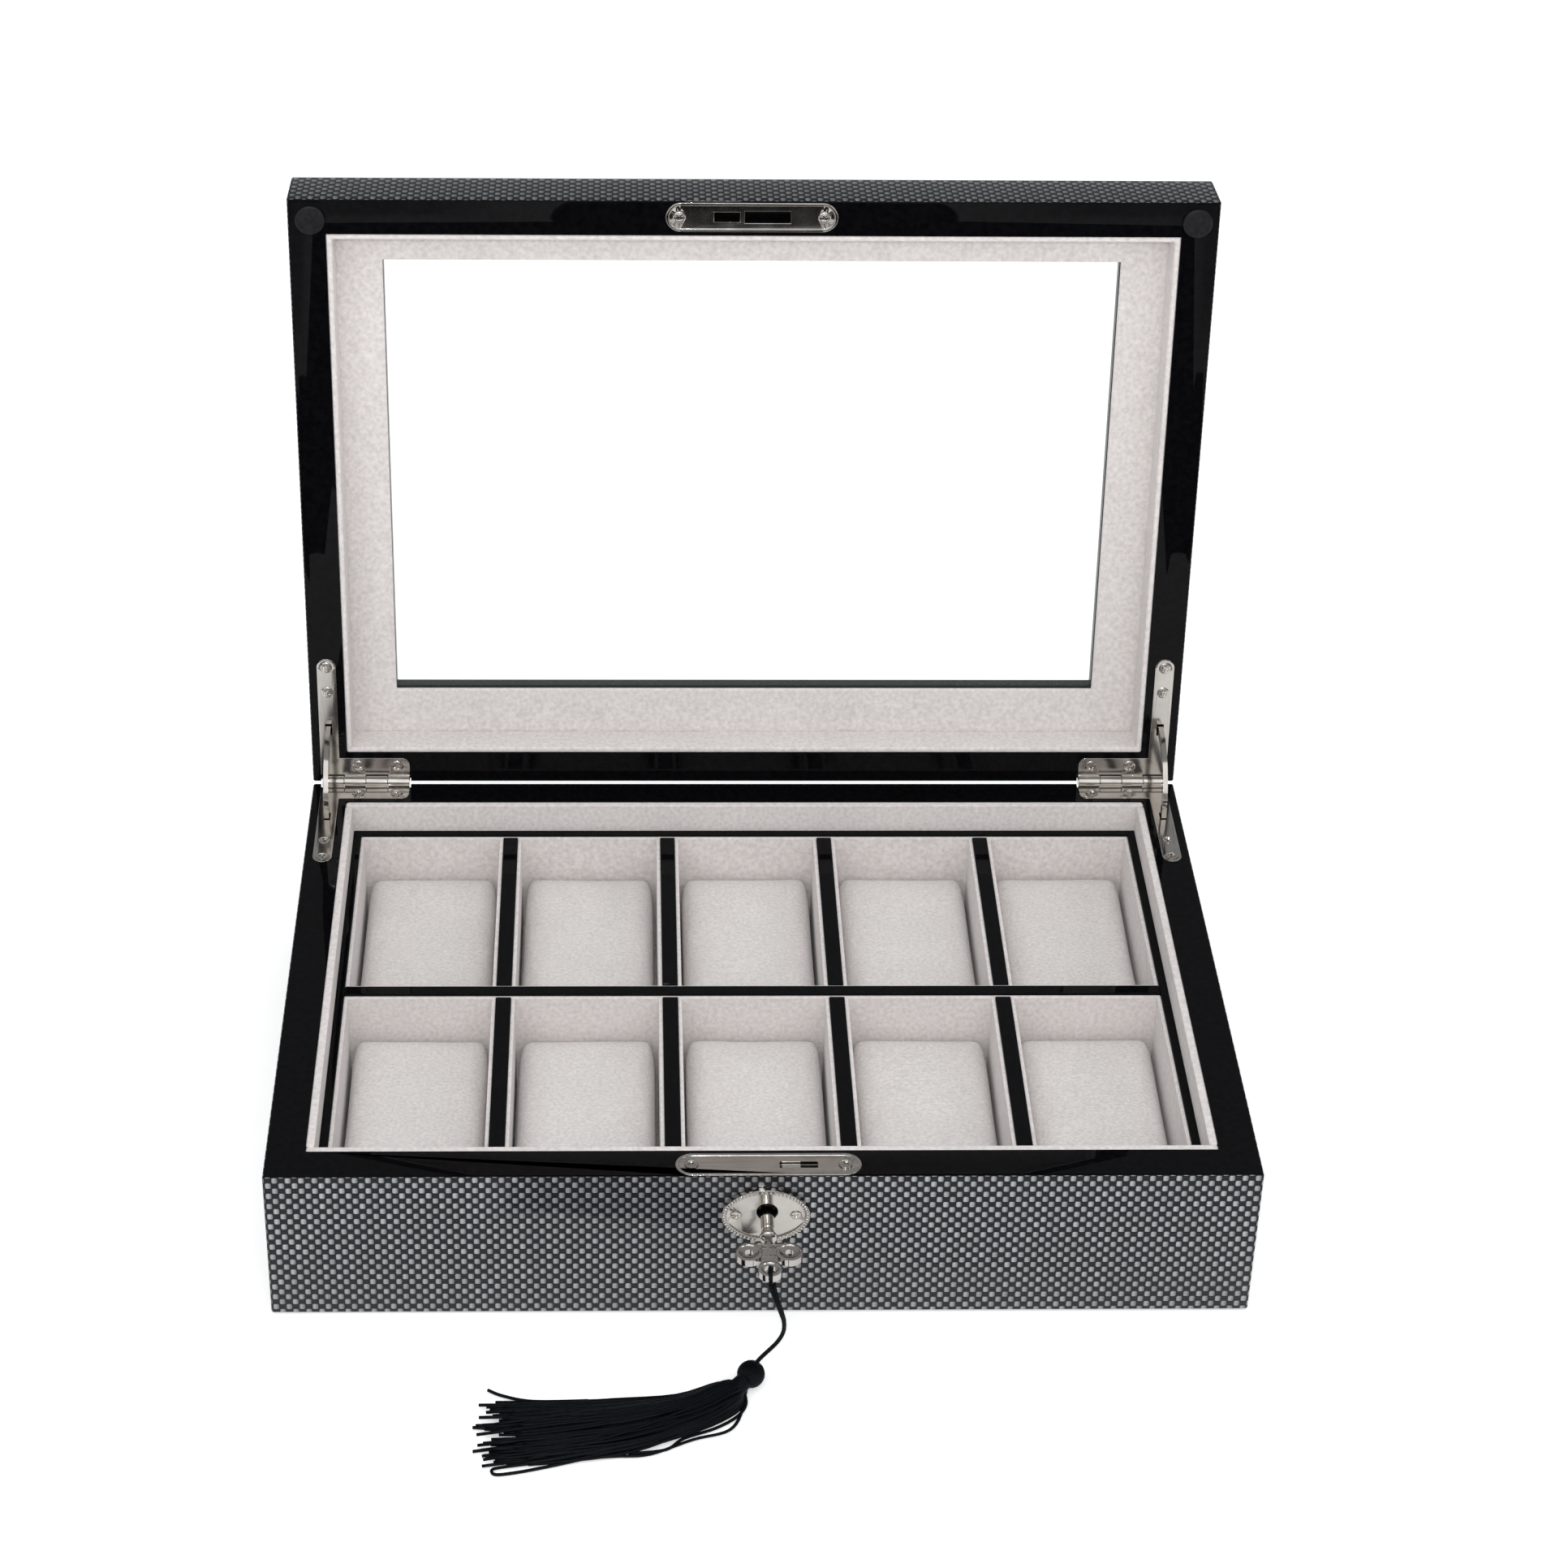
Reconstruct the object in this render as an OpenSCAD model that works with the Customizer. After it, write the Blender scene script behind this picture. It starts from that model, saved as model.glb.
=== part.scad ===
// Watch box with a glazed lid, ten cushioned compartments, a mortise lock, two corner
// stay hinges, and a key with a tassel on a cord. The lid stands open on its stays.
// Millimetres. The origin is the middle of the underside; +X is right and +Y is back.

/* [Case] */
// Overall width of the case
box_w = 330; // [320:5:350]
// Overall depth of the case, front to back
box_d = 233; // [225:1:245]
// Height of the base, from the surface it stands on to its rim
base_h = 59.5; // [58:0.5:70]
// Thickness of the lid, from its rim to its top
lid_h = 23; // [22:0.5:28]
// Thickness of the front and side walls
wall_t = 13.2; // [13:0.1:15]
// Thickness of the back wall
back_wall_t = 12; // [12:0.1:14]
// Gap between the rims when the lid is shut
lid_gap = 1.6; // [1.4:0.1:2]
// Thickness of the felt under the base
felt_t = 0.8; // [0.5:0.1:1.5]
// Top of the floor board above the surface the box stands on
floor_top = 5; // [4:0.5:7]

/* [Lining and tray] */
// Thickness of the suede-covered lining boards in the base
lining_t = 2.8; // [2:0.1:3.2]
// Depth of the tray's top edges below the rim
tray_drop = 11.5; // [9:0.5:14]
// Thickness of the rails around the tray
rail_t = 3; // [2.5:0.1:4]
// Thickness of the rail between the two rows
middle_rail_t = 4.8; // [4:0.1:6]
// Thickness of the dividers between compartments
divider_t = 5.5; // [4.5:0.1:6]
// Thickness of the suede lining of a compartment
compartment_lining_t = 1.4; // [0.8:0.1:1.6]
// Number of compartments in a row
columns = 5; // [4:1:6]
// Gap all round a cushion in its compartment
cushion_gap = 1.5; // [1.2:0.1:2.5]
// Height of a cushion
cushion_h = 24.5; // [20:0.5:28]

/* [Lid window] */
// Width of the frame at the sides of the window
window_side = 32; // [28:1:40]
// Width of the frame at the front of the window
window_front = 28; // [26:1:40]
// Width of the frame at the hinge side of the window
window_back = 31.8; // [28:0.1:40]
// Thickness of the lid's top frame
lid_top_t = 6.6; // [6:0.1:7]
// Thickness of the glass
glass_t = 2; // [1.5:0.1:3]

/* [Hinges] */
// Angle that the lid opens to
open_angle = 95; // [90:1:100]
// Distance of a hinge arm's middle line from the side of the case
hinge_inset = 6.8; // [6.5:0.1:7]
// Width of a hinge leaf's long arm
leaf_arm_w = 7.2; // [7:0.1:7.6]
// Length of a hinge leaf's long arm from the pin
leaf_arm_len = 52; // [48:1:56]
// Length of a hinge leaf's short arm along the back
leaf_back_len = 33.8; // [32:0.2:38]
// Outer radius of the curved stay
stay_r = 24; // [23.5:0.1:24.5]
// Width of the curved stay
stay_w = 3.4; // [3:0.1:4]
// Thickness of the curved stay
stay_t = 1.8; // [1.6:0.1:2]

/* [Lock and key] */
// Key axis to the right of the case's middle
key_x = 1; // [0:0.5:2]
// Height of the key axis
key_z = 44.2; // [43:0.1:46]
// Diameter of the key's stem
key_stem_d = 4.4; // [4:0.1:4.6]
// Width of the key's bow
key_bow_w = 22; // [20:0.5:24]
// Length of the escutcheon
escutcheon_w = 29.4; // [27:0.2:32]
// Height of the escutcheon
escutcheon_h = 22; // [20:0.5:24]

/* [Cord and tassel] */
// Diameter of the cord
cord_d = 1.4; // [1.2:0.1:1.8]
// Diameter of the tassel's knotted head
tassel_head_d = 9.4; // [8:0.2:11]
// Thickness of the tassel's skirt where it lies
tassel_t = 7; // [5:0.5:9]

/* [Hidden] */
COLUMNS = [1 : columns];
DIVIDERS = [1 : columns - 1];
CUSHIONS = [1 : 2 * columns];
SIDES = [["left", -1], ["right", 1]];
FIXED = [
    "base_front_wall", "base_back_wall", "base_left_wall", "base_right_wall",
    "base_floor_board", "base_felt", "lining_front", "lining_back", "lining_left",
    "lining_right", "floor_lining", "tray_frame", "tray_middle_rail",
    "compartment_linings", "lock_case", "lock_edge_plate", "lock_plate_screws",
    "lock_bolt", "escutcheon", "escutcheon_screws", "key", "key_cord", "tassel_head",
    "tassel_skirt", "hinge_base_screws", "hinge_lid_screws", "lid_walls",
    "lid_top_frame", "lid_glass", "lid_lining_boards", "lid_window_panel",
    "strike_plate", "strike_plate_screws", "bumper_pads"
];
HINGE_PARTS = ["base_leaf", "lid_leaf", "pin", "stay"];
$fn = 64;

// Case, in plan and in height
half_w = box_w / 2;
front_y = -box_d / 2;
back_y = box_d / 2;
inner_x = half_w - wall_t;
inner_front_y = front_y + wall_t;
inner_back_y = back_y - back_wall_t;
lining_x = inner_x - lining_t;
lining_front_y = inner_front_y + lining_t;
lining_back_y = inner_back_y - lining_t;
floor_lining_t = 2;
tray_z = floor_top + floor_lining_t;
tray_top = base_h - tray_drop;
tray_h = tray_top - tray_z;
lining_top_drop = 0.3;

// Compartments: inside the rails, between the dividers
tray_x = lining_x - rail_t;
tray_front_y = lining_front_y + rail_t;
tray_back_y = lining_back_y - rail_t;
middle_y = (tray_front_y + tray_back_y) / 2;
cell_w = (2 * tray_x - (columns - 1) * divider_t) / columns;
cell_pitch = cell_w + divider_t;
cell_d = (tray_back_y - tray_front_y - middle_rail_t) / 2;
rear_cell_y = tray_back_y - cell_d / 2;
front_cell_y = tray_front_y + cell_d / 2;
cushion_w = cell_w - 2 * compartment_lining_t - 2 * cushion_gap;
cushion_d = cell_d - 2 * compartment_lining_t - 2 * cushion_gap;
cushion_r = 6;
cushion_lift_gap = 0.3;

// Lid, drawn shut and then swung open about the hinge pins
pin_offset = 0.4;
lid_z = base_h + lid_gap;
hinge_z = lid_z - pin_offset;
lid_wall_h = lid_h - lid_top_t;
top_frame_z = lid_z + lid_wall_h;
panel_t = 2;
panel_z = top_frame_z - panel_t;
lid_board_t = 2.2;
window_x = half_w - window_side;
window_front_y = front_y + window_front;
window_back_y = back_y - window_back;
glass_seat = 5;

// Hinges
leaf_t = 1.4;
leaf_back_w = 9.8;
leaf_corner_r = 3;
leaf_clear = 0.15;
knuckle_r = 2.4;
knuckle_gap = 0.2;
knuckle_count = 4;
knuckle_clear = 0.35;
pin_r = 1;
pin_clear = 0.05;
hinge_x = half_w - hinge_inset;
knuckle_start = 0.6 - leaf_arm_w / 2;
knuckle_len = (leaf_back_len - leaf_arm_w / 2 - knuckle_start) / knuckle_count;
stay_end_angle = 11.5;
stay_peg_angle = 9.6;
stay_peg_r = 0.9;
stay_peg_len = 3.6;
slot_w = 2.6;
pocket_w = 4.6;
pocket_clear = 0.5;
pocket_back = 3.6;
lid_pocket_back = 14;
leaf_screws = [38, 48.4];
back_screws = [10.7, 25.4];
back_screw_y = 6.4;

// Screws
screw_head_r = 2.2;
screw_head_t = 1.1;
screw_proud = 0.35;
screw_shank_r = 1.1;
screw_len = 9;

// Lock
plate_t = 1.3;
plate_proud = 0.3;
edge_plate_x = 1.4;
edge_plate_y = front_y + 5.9;
edge_plate_w = 61.6;
edge_plate_d = 11.2;
edge_screw_pitch = 50.9;
bolt_slot_x = 11.4;
bolt_slot_w = 12.6;
bolt_slot_d = 3.2;
strike_x = -1.1;
strike_y = front_y + 6.4;
strike_w = 61;
strike_d = 10.8;
strike_screw_pitch = 51.4;
strike_slots = [[-9.9, 9.2, 3.7], [4.5, 16.3, 4.4]];
strike_pocket_h = 6;
case_x = 2;
case_w = 44;
case_front_y = front_y + 2.9;
case_back_y = front_y + 10.7;
case_bottom = 33;
case_wall = 0.8;
case_top = base_h - plate_t - 0.1;
keyhole_z = key_z + 0.9;
keyhole_r = 3.5;
bit_slot_w = 3.2;
bit_slot_drop = 8.6;
bolt_x = 8.9;
bolt_w = 6.4;
bolt_d = 2.4;
escutcheon_t = 1.2;
escutcheon_rim_t = 1.9;
escutcheon_rim_w = 1.6;
escutcheon_end_r = 7.5;
escutcheon_screw_x = 9.95;
escutcheon_screw_scale = 0.78;
escutcheon_screw_len = 4.6;

// Key
key_tip_y = case_front_y + 5.1;
key_bow_y = front_y - 17;
key_bow_t = 2.5;
key_lobe_r = 4.4;
key_ring_r = 3.9;
key_ring_y = key_bow_y - 12.6;
key_hole_r = 1.5;
key_ring_hole_r = 1.9;
key_bit_len = 5.6;
key_bit_t = 1.6;
key_collar_r = 2.9;
key_collar_len = 1.6;
key_neck_r = 1.2;
key_neck_len = 5;
key_loop_r = 2.7;

// Cord, from the key's end ring down to the tassel's head on the surface
cord_sides = 8;
cord_route = [
    [1, -152.5, 44.2], [1.1, -153.6, 44], [1.5, -154.7, 43.1], [2.1, -155.5, 41.6],
    [2.9, -155.9, 39.5], [3.8, -156, 37], [4.6, -155.9, 34.4], [5.3, -155.6, 31.8],
    [5.6, -155.3, 29.2], [5.5, -154.9, 26.6], [4.9, -154.5, 24], [3.9, -154.1, 21.5],
    [2.6, -153.7, 19.1], [1.1, -153.3, 16.8], [-0.5, -152.9, 14.4], [-2, -152.5, 12],
    [-3.1, -152.2, 9.75]
];
tassel_head = [-4.6, -152, 5];
skirt_bottom = 0.4;
skirt_outline = [
    [-7, -158.3], [-9.8, -154.6], [-30, -158.6], [-52, -160], [-90, -161.5], [-92.5, -172],
    [-92, -184], [-86, -195.5], [-62, -191.5], [-40, -184], [-20, -171]
];

// Shared shapes

// A box from its lowest to its highest corner
module block(low, high) {
    translate(low) cube(high - low);
}

// A frame of four straight sides between an outer and an inner rectangle
module ring_block(outer_low, outer_high, inner_low, inner_high, z, h) {
    difference() {
        block([outer_low.x, outer_low.y, z], [outer_high.x, outer_high.y, z + h]);
        block([inner_low.x, inner_low.y, z - 1], [inner_high.x, inner_high.y, z + h + 1]);
    }
}

// A flat slot shape with round ends along X
module stadium(w, d) {
    square([w - d, d], center = true);
    for (side = [-1, 1]) translate([side * (w - d) / 2, 0]) circle(d = d);
}

// A rectangle with round corners
module round_rectangle(w, d, r) {
    square([w - 2 * r, d], center = true);
    square([w, d - 2 * r], center = true);
    for (x = [-1, 1]) for (y = [-1, 1]) {
        translate([x * (w / 2 - r), y * (d / 2 - r)]) circle(r);
    }
}

// An oval from two end circles of radius r and two wide side arcs
module oval(w, h, r) {
    reach = w / 2 - r;
    side_r = (reach * reach + h * h / 4 - r * r) / (2 * (h / 2 - r));
    side_y = side_r - h / 2;
    band = side_r * reach / (side_r - r);
    for (side = [-1, 1]) translate([side * reach, 0]) circle(r);
    intersection() {
        translate([0, side_y]) circle(side_r);
        translate([0, -side_y]) circle(side_r);
        square([2 * band, h], center = true);
    }
}

// A countersunk screw whose head is just proud of z = 0, with its shank pointing down
module screw(length = screw_len) {
    translate([0, 0, -screw_head_t]) cylinder(r = screw_head_r, h = screw_head_t + screw_proud);
    translate([0, 0, -length]) cylinder(r = screw_shank_r, h = length - screw_head_t);
}

// The room that a screw takes in the wood and in the plate it holds
module screw_room(length = screw_len) {
    translate([0, 0, -screw_head_t]) cylinder(r = screw_head_r, h = 5);
    translate([0, 0, -length]) cylinder(r = screw_shank_r, h = length + 1);
}

// Lid pieces are drawn shut; this swings them open about the hinge pins
module opened() {
    translate([0, back_y, hinge_z]) rotate([-open_angle, 0, 0]) {
        translate([0, -back_y, -hinge_z]) children();
    }
}

// A mitred wall of the base or the lid, in plan: 0 front, 1 back, 2 left, 3 right
module wall_plan(which) {
    outer = [[-half_w, front_y], [half_w, front_y], [half_w, back_y], [-half_w, back_y]];
    inner = [
        [-inner_x, inner_front_y], [inner_x, inner_front_y],
        [inner_x, inner_back_y], [-inner_x, inner_back_y]
    ];
    corner = [0, 2, 3, 1][which];
    next = (corner + 1) % 4;
    polygon([outer[corner], outer[next], inner[next], inner[corner]]);
}

// Hinge shapes, drawn for the right side and mirrored for the left

module on_side(side) {
    mirror([side < 0 ? 1 : 0, 0, 0]) children();
}

// Outline of a leaf: a long arm along the side and a short arm along the back
module leaf_plan(clear) {
    arm_r = leaf_arm_w / 2;
    translate([hinge_x - arm_r - clear, back_y - leaf_arm_len + arm_r]) {
        square([leaf_arm_w + 2 * clear, leaf_arm_len - arm_r + clear]);
    }
    translate([hinge_x, back_y - leaf_arm_len + arm_r]) circle(arm_r + clear);
    translate([hinge_x + arm_r - leaf_back_len, back_y - leaf_back_w]) {
        translate([-clear, leaf_corner_r]) {
            square([leaf_back_len, leaf_back_w - leaf_corner_r + clear]);
        }
        translate([leaf_corner_r, -clear]) {
            square([leaf_back_len - leaf_corner_r - 1, leaf_back_w]);
        }
        translate([leaf_corner_r, leaf_corner_r]) circle(leaf_corner_r + clear);
    }
}

module at_leaf_screws(z) {
    for (reach = leaf_screws) translate([hinge_x, back_y - reach, z]) children();
    for (reach = back_screws) {
        translate([hinge_x - reach, back_y - back_screw_y, z]) children();
    }
}

// A cylinder on the pin axis from one distance from the arm's middle line to another
module on_pin(r, from, to) {
    translate([hinge_x - to, back_y, hinge_z]) rotate([0, 90, 0]) cylinder(r = r, h = to - from);
}

function knuckle_from(i) = knuckle_start + i * knuckle_len;

// A leaf lying from z up to z + leaf_t, whose knuckles are numbered first, first + 2
module leaf(z, first, bore_r) {
    other = 1 - first;
    difference() {
        union() {
            translate([0, 0, z]) linear_extrude(leaf_t) leaf_plan(0);
            for (i = [first, first + 2]) {
                on_pin(knuckle_r, knuckle_from(i), knuckle_from(i) + knuckle_len - knuckle_gap);
            }
        }
        for (i = [other, other + 2]) {
            on_pin(
                knuckle_r + knuckle_clear,
                knuckle_from(i) - knuckle_gap,
                knuckle_from(i) + knuckle_len
            );
        }
        on_pin(knuckle_r + knuckle_clear, -leaf_arm_w, knuckle_start);
        on_pin(bore_r, -leaf_arm_w, leaf_back_len + 1);
        stay_cut(slot_w, z - 1, z + leaf_t + 1);
    }
}

// The slot or pocket that the stay slides through, between two heights
module stay_cut(w, low, high) {
    translate([hinge_x - w / 2, back_y - stay_r - pocket_clear, low]) {
        cube([w, stay_w + 2 * pocket_clear + 0.4, high - low]);
    }
}

// Pockets for a leaf, its barrel and its stay in the base, with the screw holes
module base_hinge_room() {
    translate([0, 0, base_h - leaf_t]) linear_extrude(leaf_t + 1) leaf_plan(leaf_clear);
    on_pin(knuckle_r + knuckle_clear, knuckle_start - 0.4, leaf_back_len - leaf_arm_w / 2 + 0.4);
    block(
        [hinge_x - pocket_w / 2, back_y - stay_r - pocket_clear, hinge_z - stay_r - pocket_clear],
        [hinge_x + pocket_w / 2, back_y - pocket_back, base_h]
    );
    at_leaf_screws(base_h) screw_room();
}

// The same in the lid, drawn shut
module lid_hinge_room() {
    translate([0, 0, lid_z - 1]) linear_extrude(leaf_t + 1) leaf_plan(leaf_clear);
    on_pin(knuckle_r + knuckle_clear, knuckle_start - 0.4, leaf_back_len - leaf_arm_w / 2 + 0.4);
    block(
        [hinge_x - pocket_w / 2, back_y - stay_r - pocket_clear, lid_z],
        [hinge_x + pocket_w / 2, back_y - lid_pocket_back, top_frame_z - 0.2]
    );
    translate([0, 0, 2 * lid_z]) mirror([0, 0, 1]) at_leaf_screws(lid_z) screw_room();
}

// Base

module lacquered_wall(which) {
    color([0.13, 0.13, 0.15]) difference() {
        translate([0, 0, felt_t]) linear_extrude(base_h - felt_t) wall_plan(which);
        children();
    }
}

module base_front_wall() {
    lacquered_wall(0) {
        block([case_x - case_w / 2, case_front_y, case_bottom],
            [case_x + case_w / 2, case_back_y, base_h + 1]);
        translate([edge_plate_x, edge_plate_y, base_h - plate_t]) {
            linear_extrude(plate_t + 1) stadium(edge_plate_w, edge_plate_d);
        }
        at_edge_screws() screw_room();
        keyhole(front_y - 1, case_front_y + 1);
        at_escutcheon_screws() screw_room(escutcheon_screw_len);
    }
}

module base_back_wall() {
    lacquered_wall(1) for (side = SIDES) on_side(side[1]) base_hinge_room();
}

module base_left_wall() {
    lacquered_wall(2) on_side(-1) base_hinge_room();
}

module base_right_wall() {
    lacquered_wall(3) on_side(1) base_hinge_room();
}

module base_floor_board() {
    color([0.2, 0.19, 0.18]) {
        block([-inner_x, inner_front_y, felt_t], [inner_x, inner_back_y, floor_top]);
    }
}

module base_felt() {
    margin = 4;
    color([0.06, 0.06, 0.07]) {
        block([margin - half_w, front_y + margin, 0], [half_w - margin, back_y - margin, felt_t]);
    }
}

// Suede-covered lining boards, standing on the floor board
module lining_board(low, high) {
    color([0.84, 0.81, 0.8]) {
        block([low.x, low.y, floor_top], [high.x, high.y, base_h - lining_top_drop]);
    }
}

module lining_front() {
    lining_board([-inner_x, inner_front_y], [inner_x, lining_front_y]);
}

module lining_back() {
    lining_board([-inner_x, lining_back_y], [inner_x, inner_back_y]);
}

module lining_left() {
    lining_board([-inner_x, lining_front_y], [-lining_x, lining_back_y]);
}

module lining_right() {
    lining_board([lining_x, lining_front_y], [inner_x, lining_back_y]);
}

module floor_lining() {
    color([0.82, 0.79, 0.78]) {
        block([-lining_x, lining_front_y, floor_top], [lining_x, lining_back_y, tray_z]);
    }
}

// Tray

module tray_frame() {
    color([0.05, 0.05, 0.06]) {
        ring_block([-lining_x, lining_front_y], [lining_x, lining_back_y],
            [-tray_x, tray_front_y], [tray_x, tray_back_y], tray_z, tray_h);
    }
}

module tray_middle_rail() {
    color([0.05, 0.05, 0.06]) {
        block([-tray_x, middle_y - middle_rail_t / 2, tray_z],
            [tray_x, middle_y + middle_rail_t / 2, tray_top]);
    }
}

// Room for the divider to the right of compartment i in the row whose middle is at row_y
module divider_room(i, row_y, low, high) {
    x = cell_x(i) + cell_pitch / 2;
    reach = cell_d / 2 - compartment_lining_t;
    block([x - divider_t / 2, row_y - reach, low], [x + divider_t / 2, row_y + reach, high]);
}

module divider(i, row_y) {
    color([0.05, 0.05, 0.06]) divider_room(i, row_y, tray_z, tray_top);
}

function cell_x(i) = (i - (columns + 1) / 2) * cell_pitch;

// One lining to a row: suede along both rails and on both faces of each divider
module compartment_linings() {
    lining_drop = 0.8;
    inside = [cell_w / 2 - compartment_lining_t, cell_d / 2 - compartment_lining_t];
    top = tray_top - lining_drop;
    color([0.84, 0.81, 0.8]) for (row_y = [front_cell_y, rear_cell_y]) difference() {
        block([-tray_x, row_y - cell_d / 2, tray_z], [tray_x, row_y + cell_d / 2, top]);
        for (i = COLUMNS) translate([cell_x(i), row_y, 0]) {
            block([-inside.x, -inside.y, tray_z - 1], [inside.x, inside.y, top + 1]);
        }
        for (i = DIVIDERS) divider_room(i, row_y, tray_z - 1, top + 1);
    }
}

// Cushions 1 to 5 lie in the rear row and 6 to 10 in the front row, left to right
module watch_cushion(i) {
    column = (i - 1) % columns + 1;
    row_y = i > columns ? front_cell_y : rear_cell_y;
    color([0.86, 0.83, 0.82]) translate([cell_x(column), row_y, tray_z + cushion_lift_gap]) {
        linear_extrude(cushion_h) round_rectangle(cushion_w, cushion_d, cushion_r);
    }
}

// Lock

// A round hole for the stem above a slot for the bit, cut along Y
module keyhole(from_y, to_y) {
    translate([key_x, from_y, keyhole_z]) rotate([-90, 0, 0]) {
        cylinder(r = keyhole_r, h = to_y - from_y);
        translate([-bit_slot_w / 2, 0, 0]) cube([bit_slot_w, bit_slot_drop, to_y - from_y]);
    }
}

module at_edge_screws() {
    for (side = [-1, 1]) {
        translate([edge_plate_x + side * edge_screw_pitch / 2, edge_plate_y, base_h + plate_proud]) {
            children();
        }
    }
}

module lock_edge_plate() {
    bead = 1.1;
    color([0.8, 0.79, 0.77]) difference() {
        translate([edge_plate_x, edge_plate_y, base_h - plate_t]) {
            linear_extrude(plate_t + plate_proud) stadium(edge_plate_w, edge_plate_d);
        }
        translate([edge_plate_x, edge_plate_y, base_h]) {
            linear_extrude(1) stadium(edge_plate_w - 2 * bead, edge_plate_d - 2 * bead);
        }
        block([bolt_slot_x - bolt_slot_w / 2, edge_plate_y - bolt_slot_d / 2, base_h - 3],
            [bolt_slot_x + bolt_slot_w / 2, edge_plate_y + bolt_slot_d / 2, base_h + 1]);
        at_edge_screws() screw_room();
    }
}

module lock_plate_screws() {
    color([0.85, 0.84, 0.82]) at_edge_screws() screw();
}

// A thin sheet-metal case, open at the top for the bolt
module lock_case() {
    low = [case_x - case_w / 2, case_front_y, case_bottom];
    high = [case_x + case_w / 2, case_back_y, case_top];
    wall = [case_wall, case_wall, case_wall];
    color([0.7, 0.69, 0.66]) difference() {
        block(low, high);
        block(low + wall, high - wall);
        keyhole(case_front_y - 1, case_front_y + case_wall + 0.1);
        block([bolt_slot_x - bolt_slot_w / 2, edge_plate_y - bolt_slot_d / 2, base_h - 8],
            [bolt_slot_x + bolt_slot_w / 2, edge_plate_y + bolt_slot_d / 2, base_h]);
    }
}

// A tongue that rises through the edge plate, on a carrier behind the key's bit
module lock_bolt() {
    left = bolt_x - bolt_w / 2;
    right = bolt_x + bolt_w / 2;
    carrier_y = key_tip_y + 0.4;
    color([0.75, 0.74, 0.71]) {
        block([left, edge_plate_y - bolt_d / 2, key_z - 1],
            [right, edge_plate_y + bolt_d / 2, base_h - 0.6]);
        block([left, edge_plate_y + bolt_d / 2 - 0.5, key_z],
            [right, carrier_y + 0.6, key_z + 8]);
        block([key_x - 5, carrier_y, key_z - 5], [right, carrier_y + 1, key_z + 8]);
    }
}

module on_front_face() {
    translate([key_x - 0.4, front_y, key_z - 0.4]) rotate([90, 0, 0]) children();
}

module at_escutcheon_screws() {
    for (side = [-1, 1]) on_front_face() translate([side * escutcheon_screw_x, 0, escutcheon_t]) {
        scale(escutcheon_screw_scale) children();
    }
}

module escutcheon() {
    rim = 2 * escutcheon_rim_w;
    color([0.86, 0.84, 0.81]) difference() {
        on_front_face() {
            linear_extrude(escutcheon_t) oval(escutcheon_w, escutcheon_h, escutcheon_end_r);
            difference() {
                linear_extrude(escutcheon_rim_t) {
                    oval(escutcheon_w, escutcheon_h, escutcheon_end_r);
                }
                translate([0, 0, -1]) linear_extrude(escutcheon_rim_t + 2) {
                    oval(escutcheon_w - rim, escutcheon_h - rim, escutcheon_end_r - rim / 2);
                }
            }
        }
        keyhole(front_y - 4, front_y + 1);
        at_escutcheon_screws() screw_room(escutcheon_screw_len);
    }
}

// Short screws, which stop in the wood in front of the lock's case
module escutcheon_screws() {
    color([0.85, 0.84, 0.82]) at_escutcheon_screws() screw(escutcheon_screw_len);
}

// The key, in the middle of its turn: bow flat, bit to the left
module key() {
    stem_r = key_stem_d / 2;
    lobe_x = key_bow_w / 2 - key_lobe_r;
    lobe_y = key_bow_y - key_lobe_r;
    color([0.86, 0.85, 0.83]) {
        translate([key_x, key_tip_y, key_z]) rotate([90, 0, 0]) {
            cylinder(r = stem_r, h = key_tip_y - key_bow_y - key_neck_len);
        }
        translate([key_x, key_bow_y + key_neck_len, key_z]) rotate([90, 0, 0]) {
            cylinder(r = key_collar_r, h = key_collar_len);
            cylinder(r = key_neck_r, h = key_neck_len + 1);
        }
        block([key_x - 2, key_bow_y - 0.5, key_z - key_bow_t / 2],
            [key_x + 2, key_bow_y + key_neck_len - 1, key_z + key_bow_t / 2]);
        block([key_x - key_bit_len, key_tip_y - 3.4, key_z - key_bit_t / 2],
            [key_x, key_tip_y - 0.4, key_z + key_bit_t / 2]);
        translate([key_x, 0, key_z - key_bow_t / 2]) linear_extrude(key_bow_t) difference() {
            union() {
                for (side = [-1, 1]) translate([side * lobe_x, lobe_y]) circle(key_lobe_r);
                translate([-lobe_x, lobe_y - 1]) square([2 * lobe_x, key_lobe_r + 1]);
                translate([0, key_ring_y]) circle(key_ring_r);
                translate([-2.6, key_ring_y]) square([5.2, 8]);
            }
            for (side = [-1, 1]) translate([side * lobe_x, lobe_y]) circle(key_hole_r);
            translate([0, key_ring_y]) circle(key_ring_hole_r);
        }
        key_loop();
    }
}

// The cord's loop through the end ring, which turns with the key
module key_loop() {
    translate([key_x, key_ring_y - key_loop_r, key_z]) rotate([0, 90, 0]) {
        rotate_extrude() translate([key_loop_r, 0]) circle(d = cord_d);
    }
}

// Cord and tassel

function ring_frame(i, n) =
    let (a = cord_route[max(i - 1, 0)], b = cord_route[min(i + 1, n - 1)], t = (b - a) / norm(b - a))
    let (u = cross(t, [0, 1, 0]), v = u / norm(u))
    [v, cross(t, v)];

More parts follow.
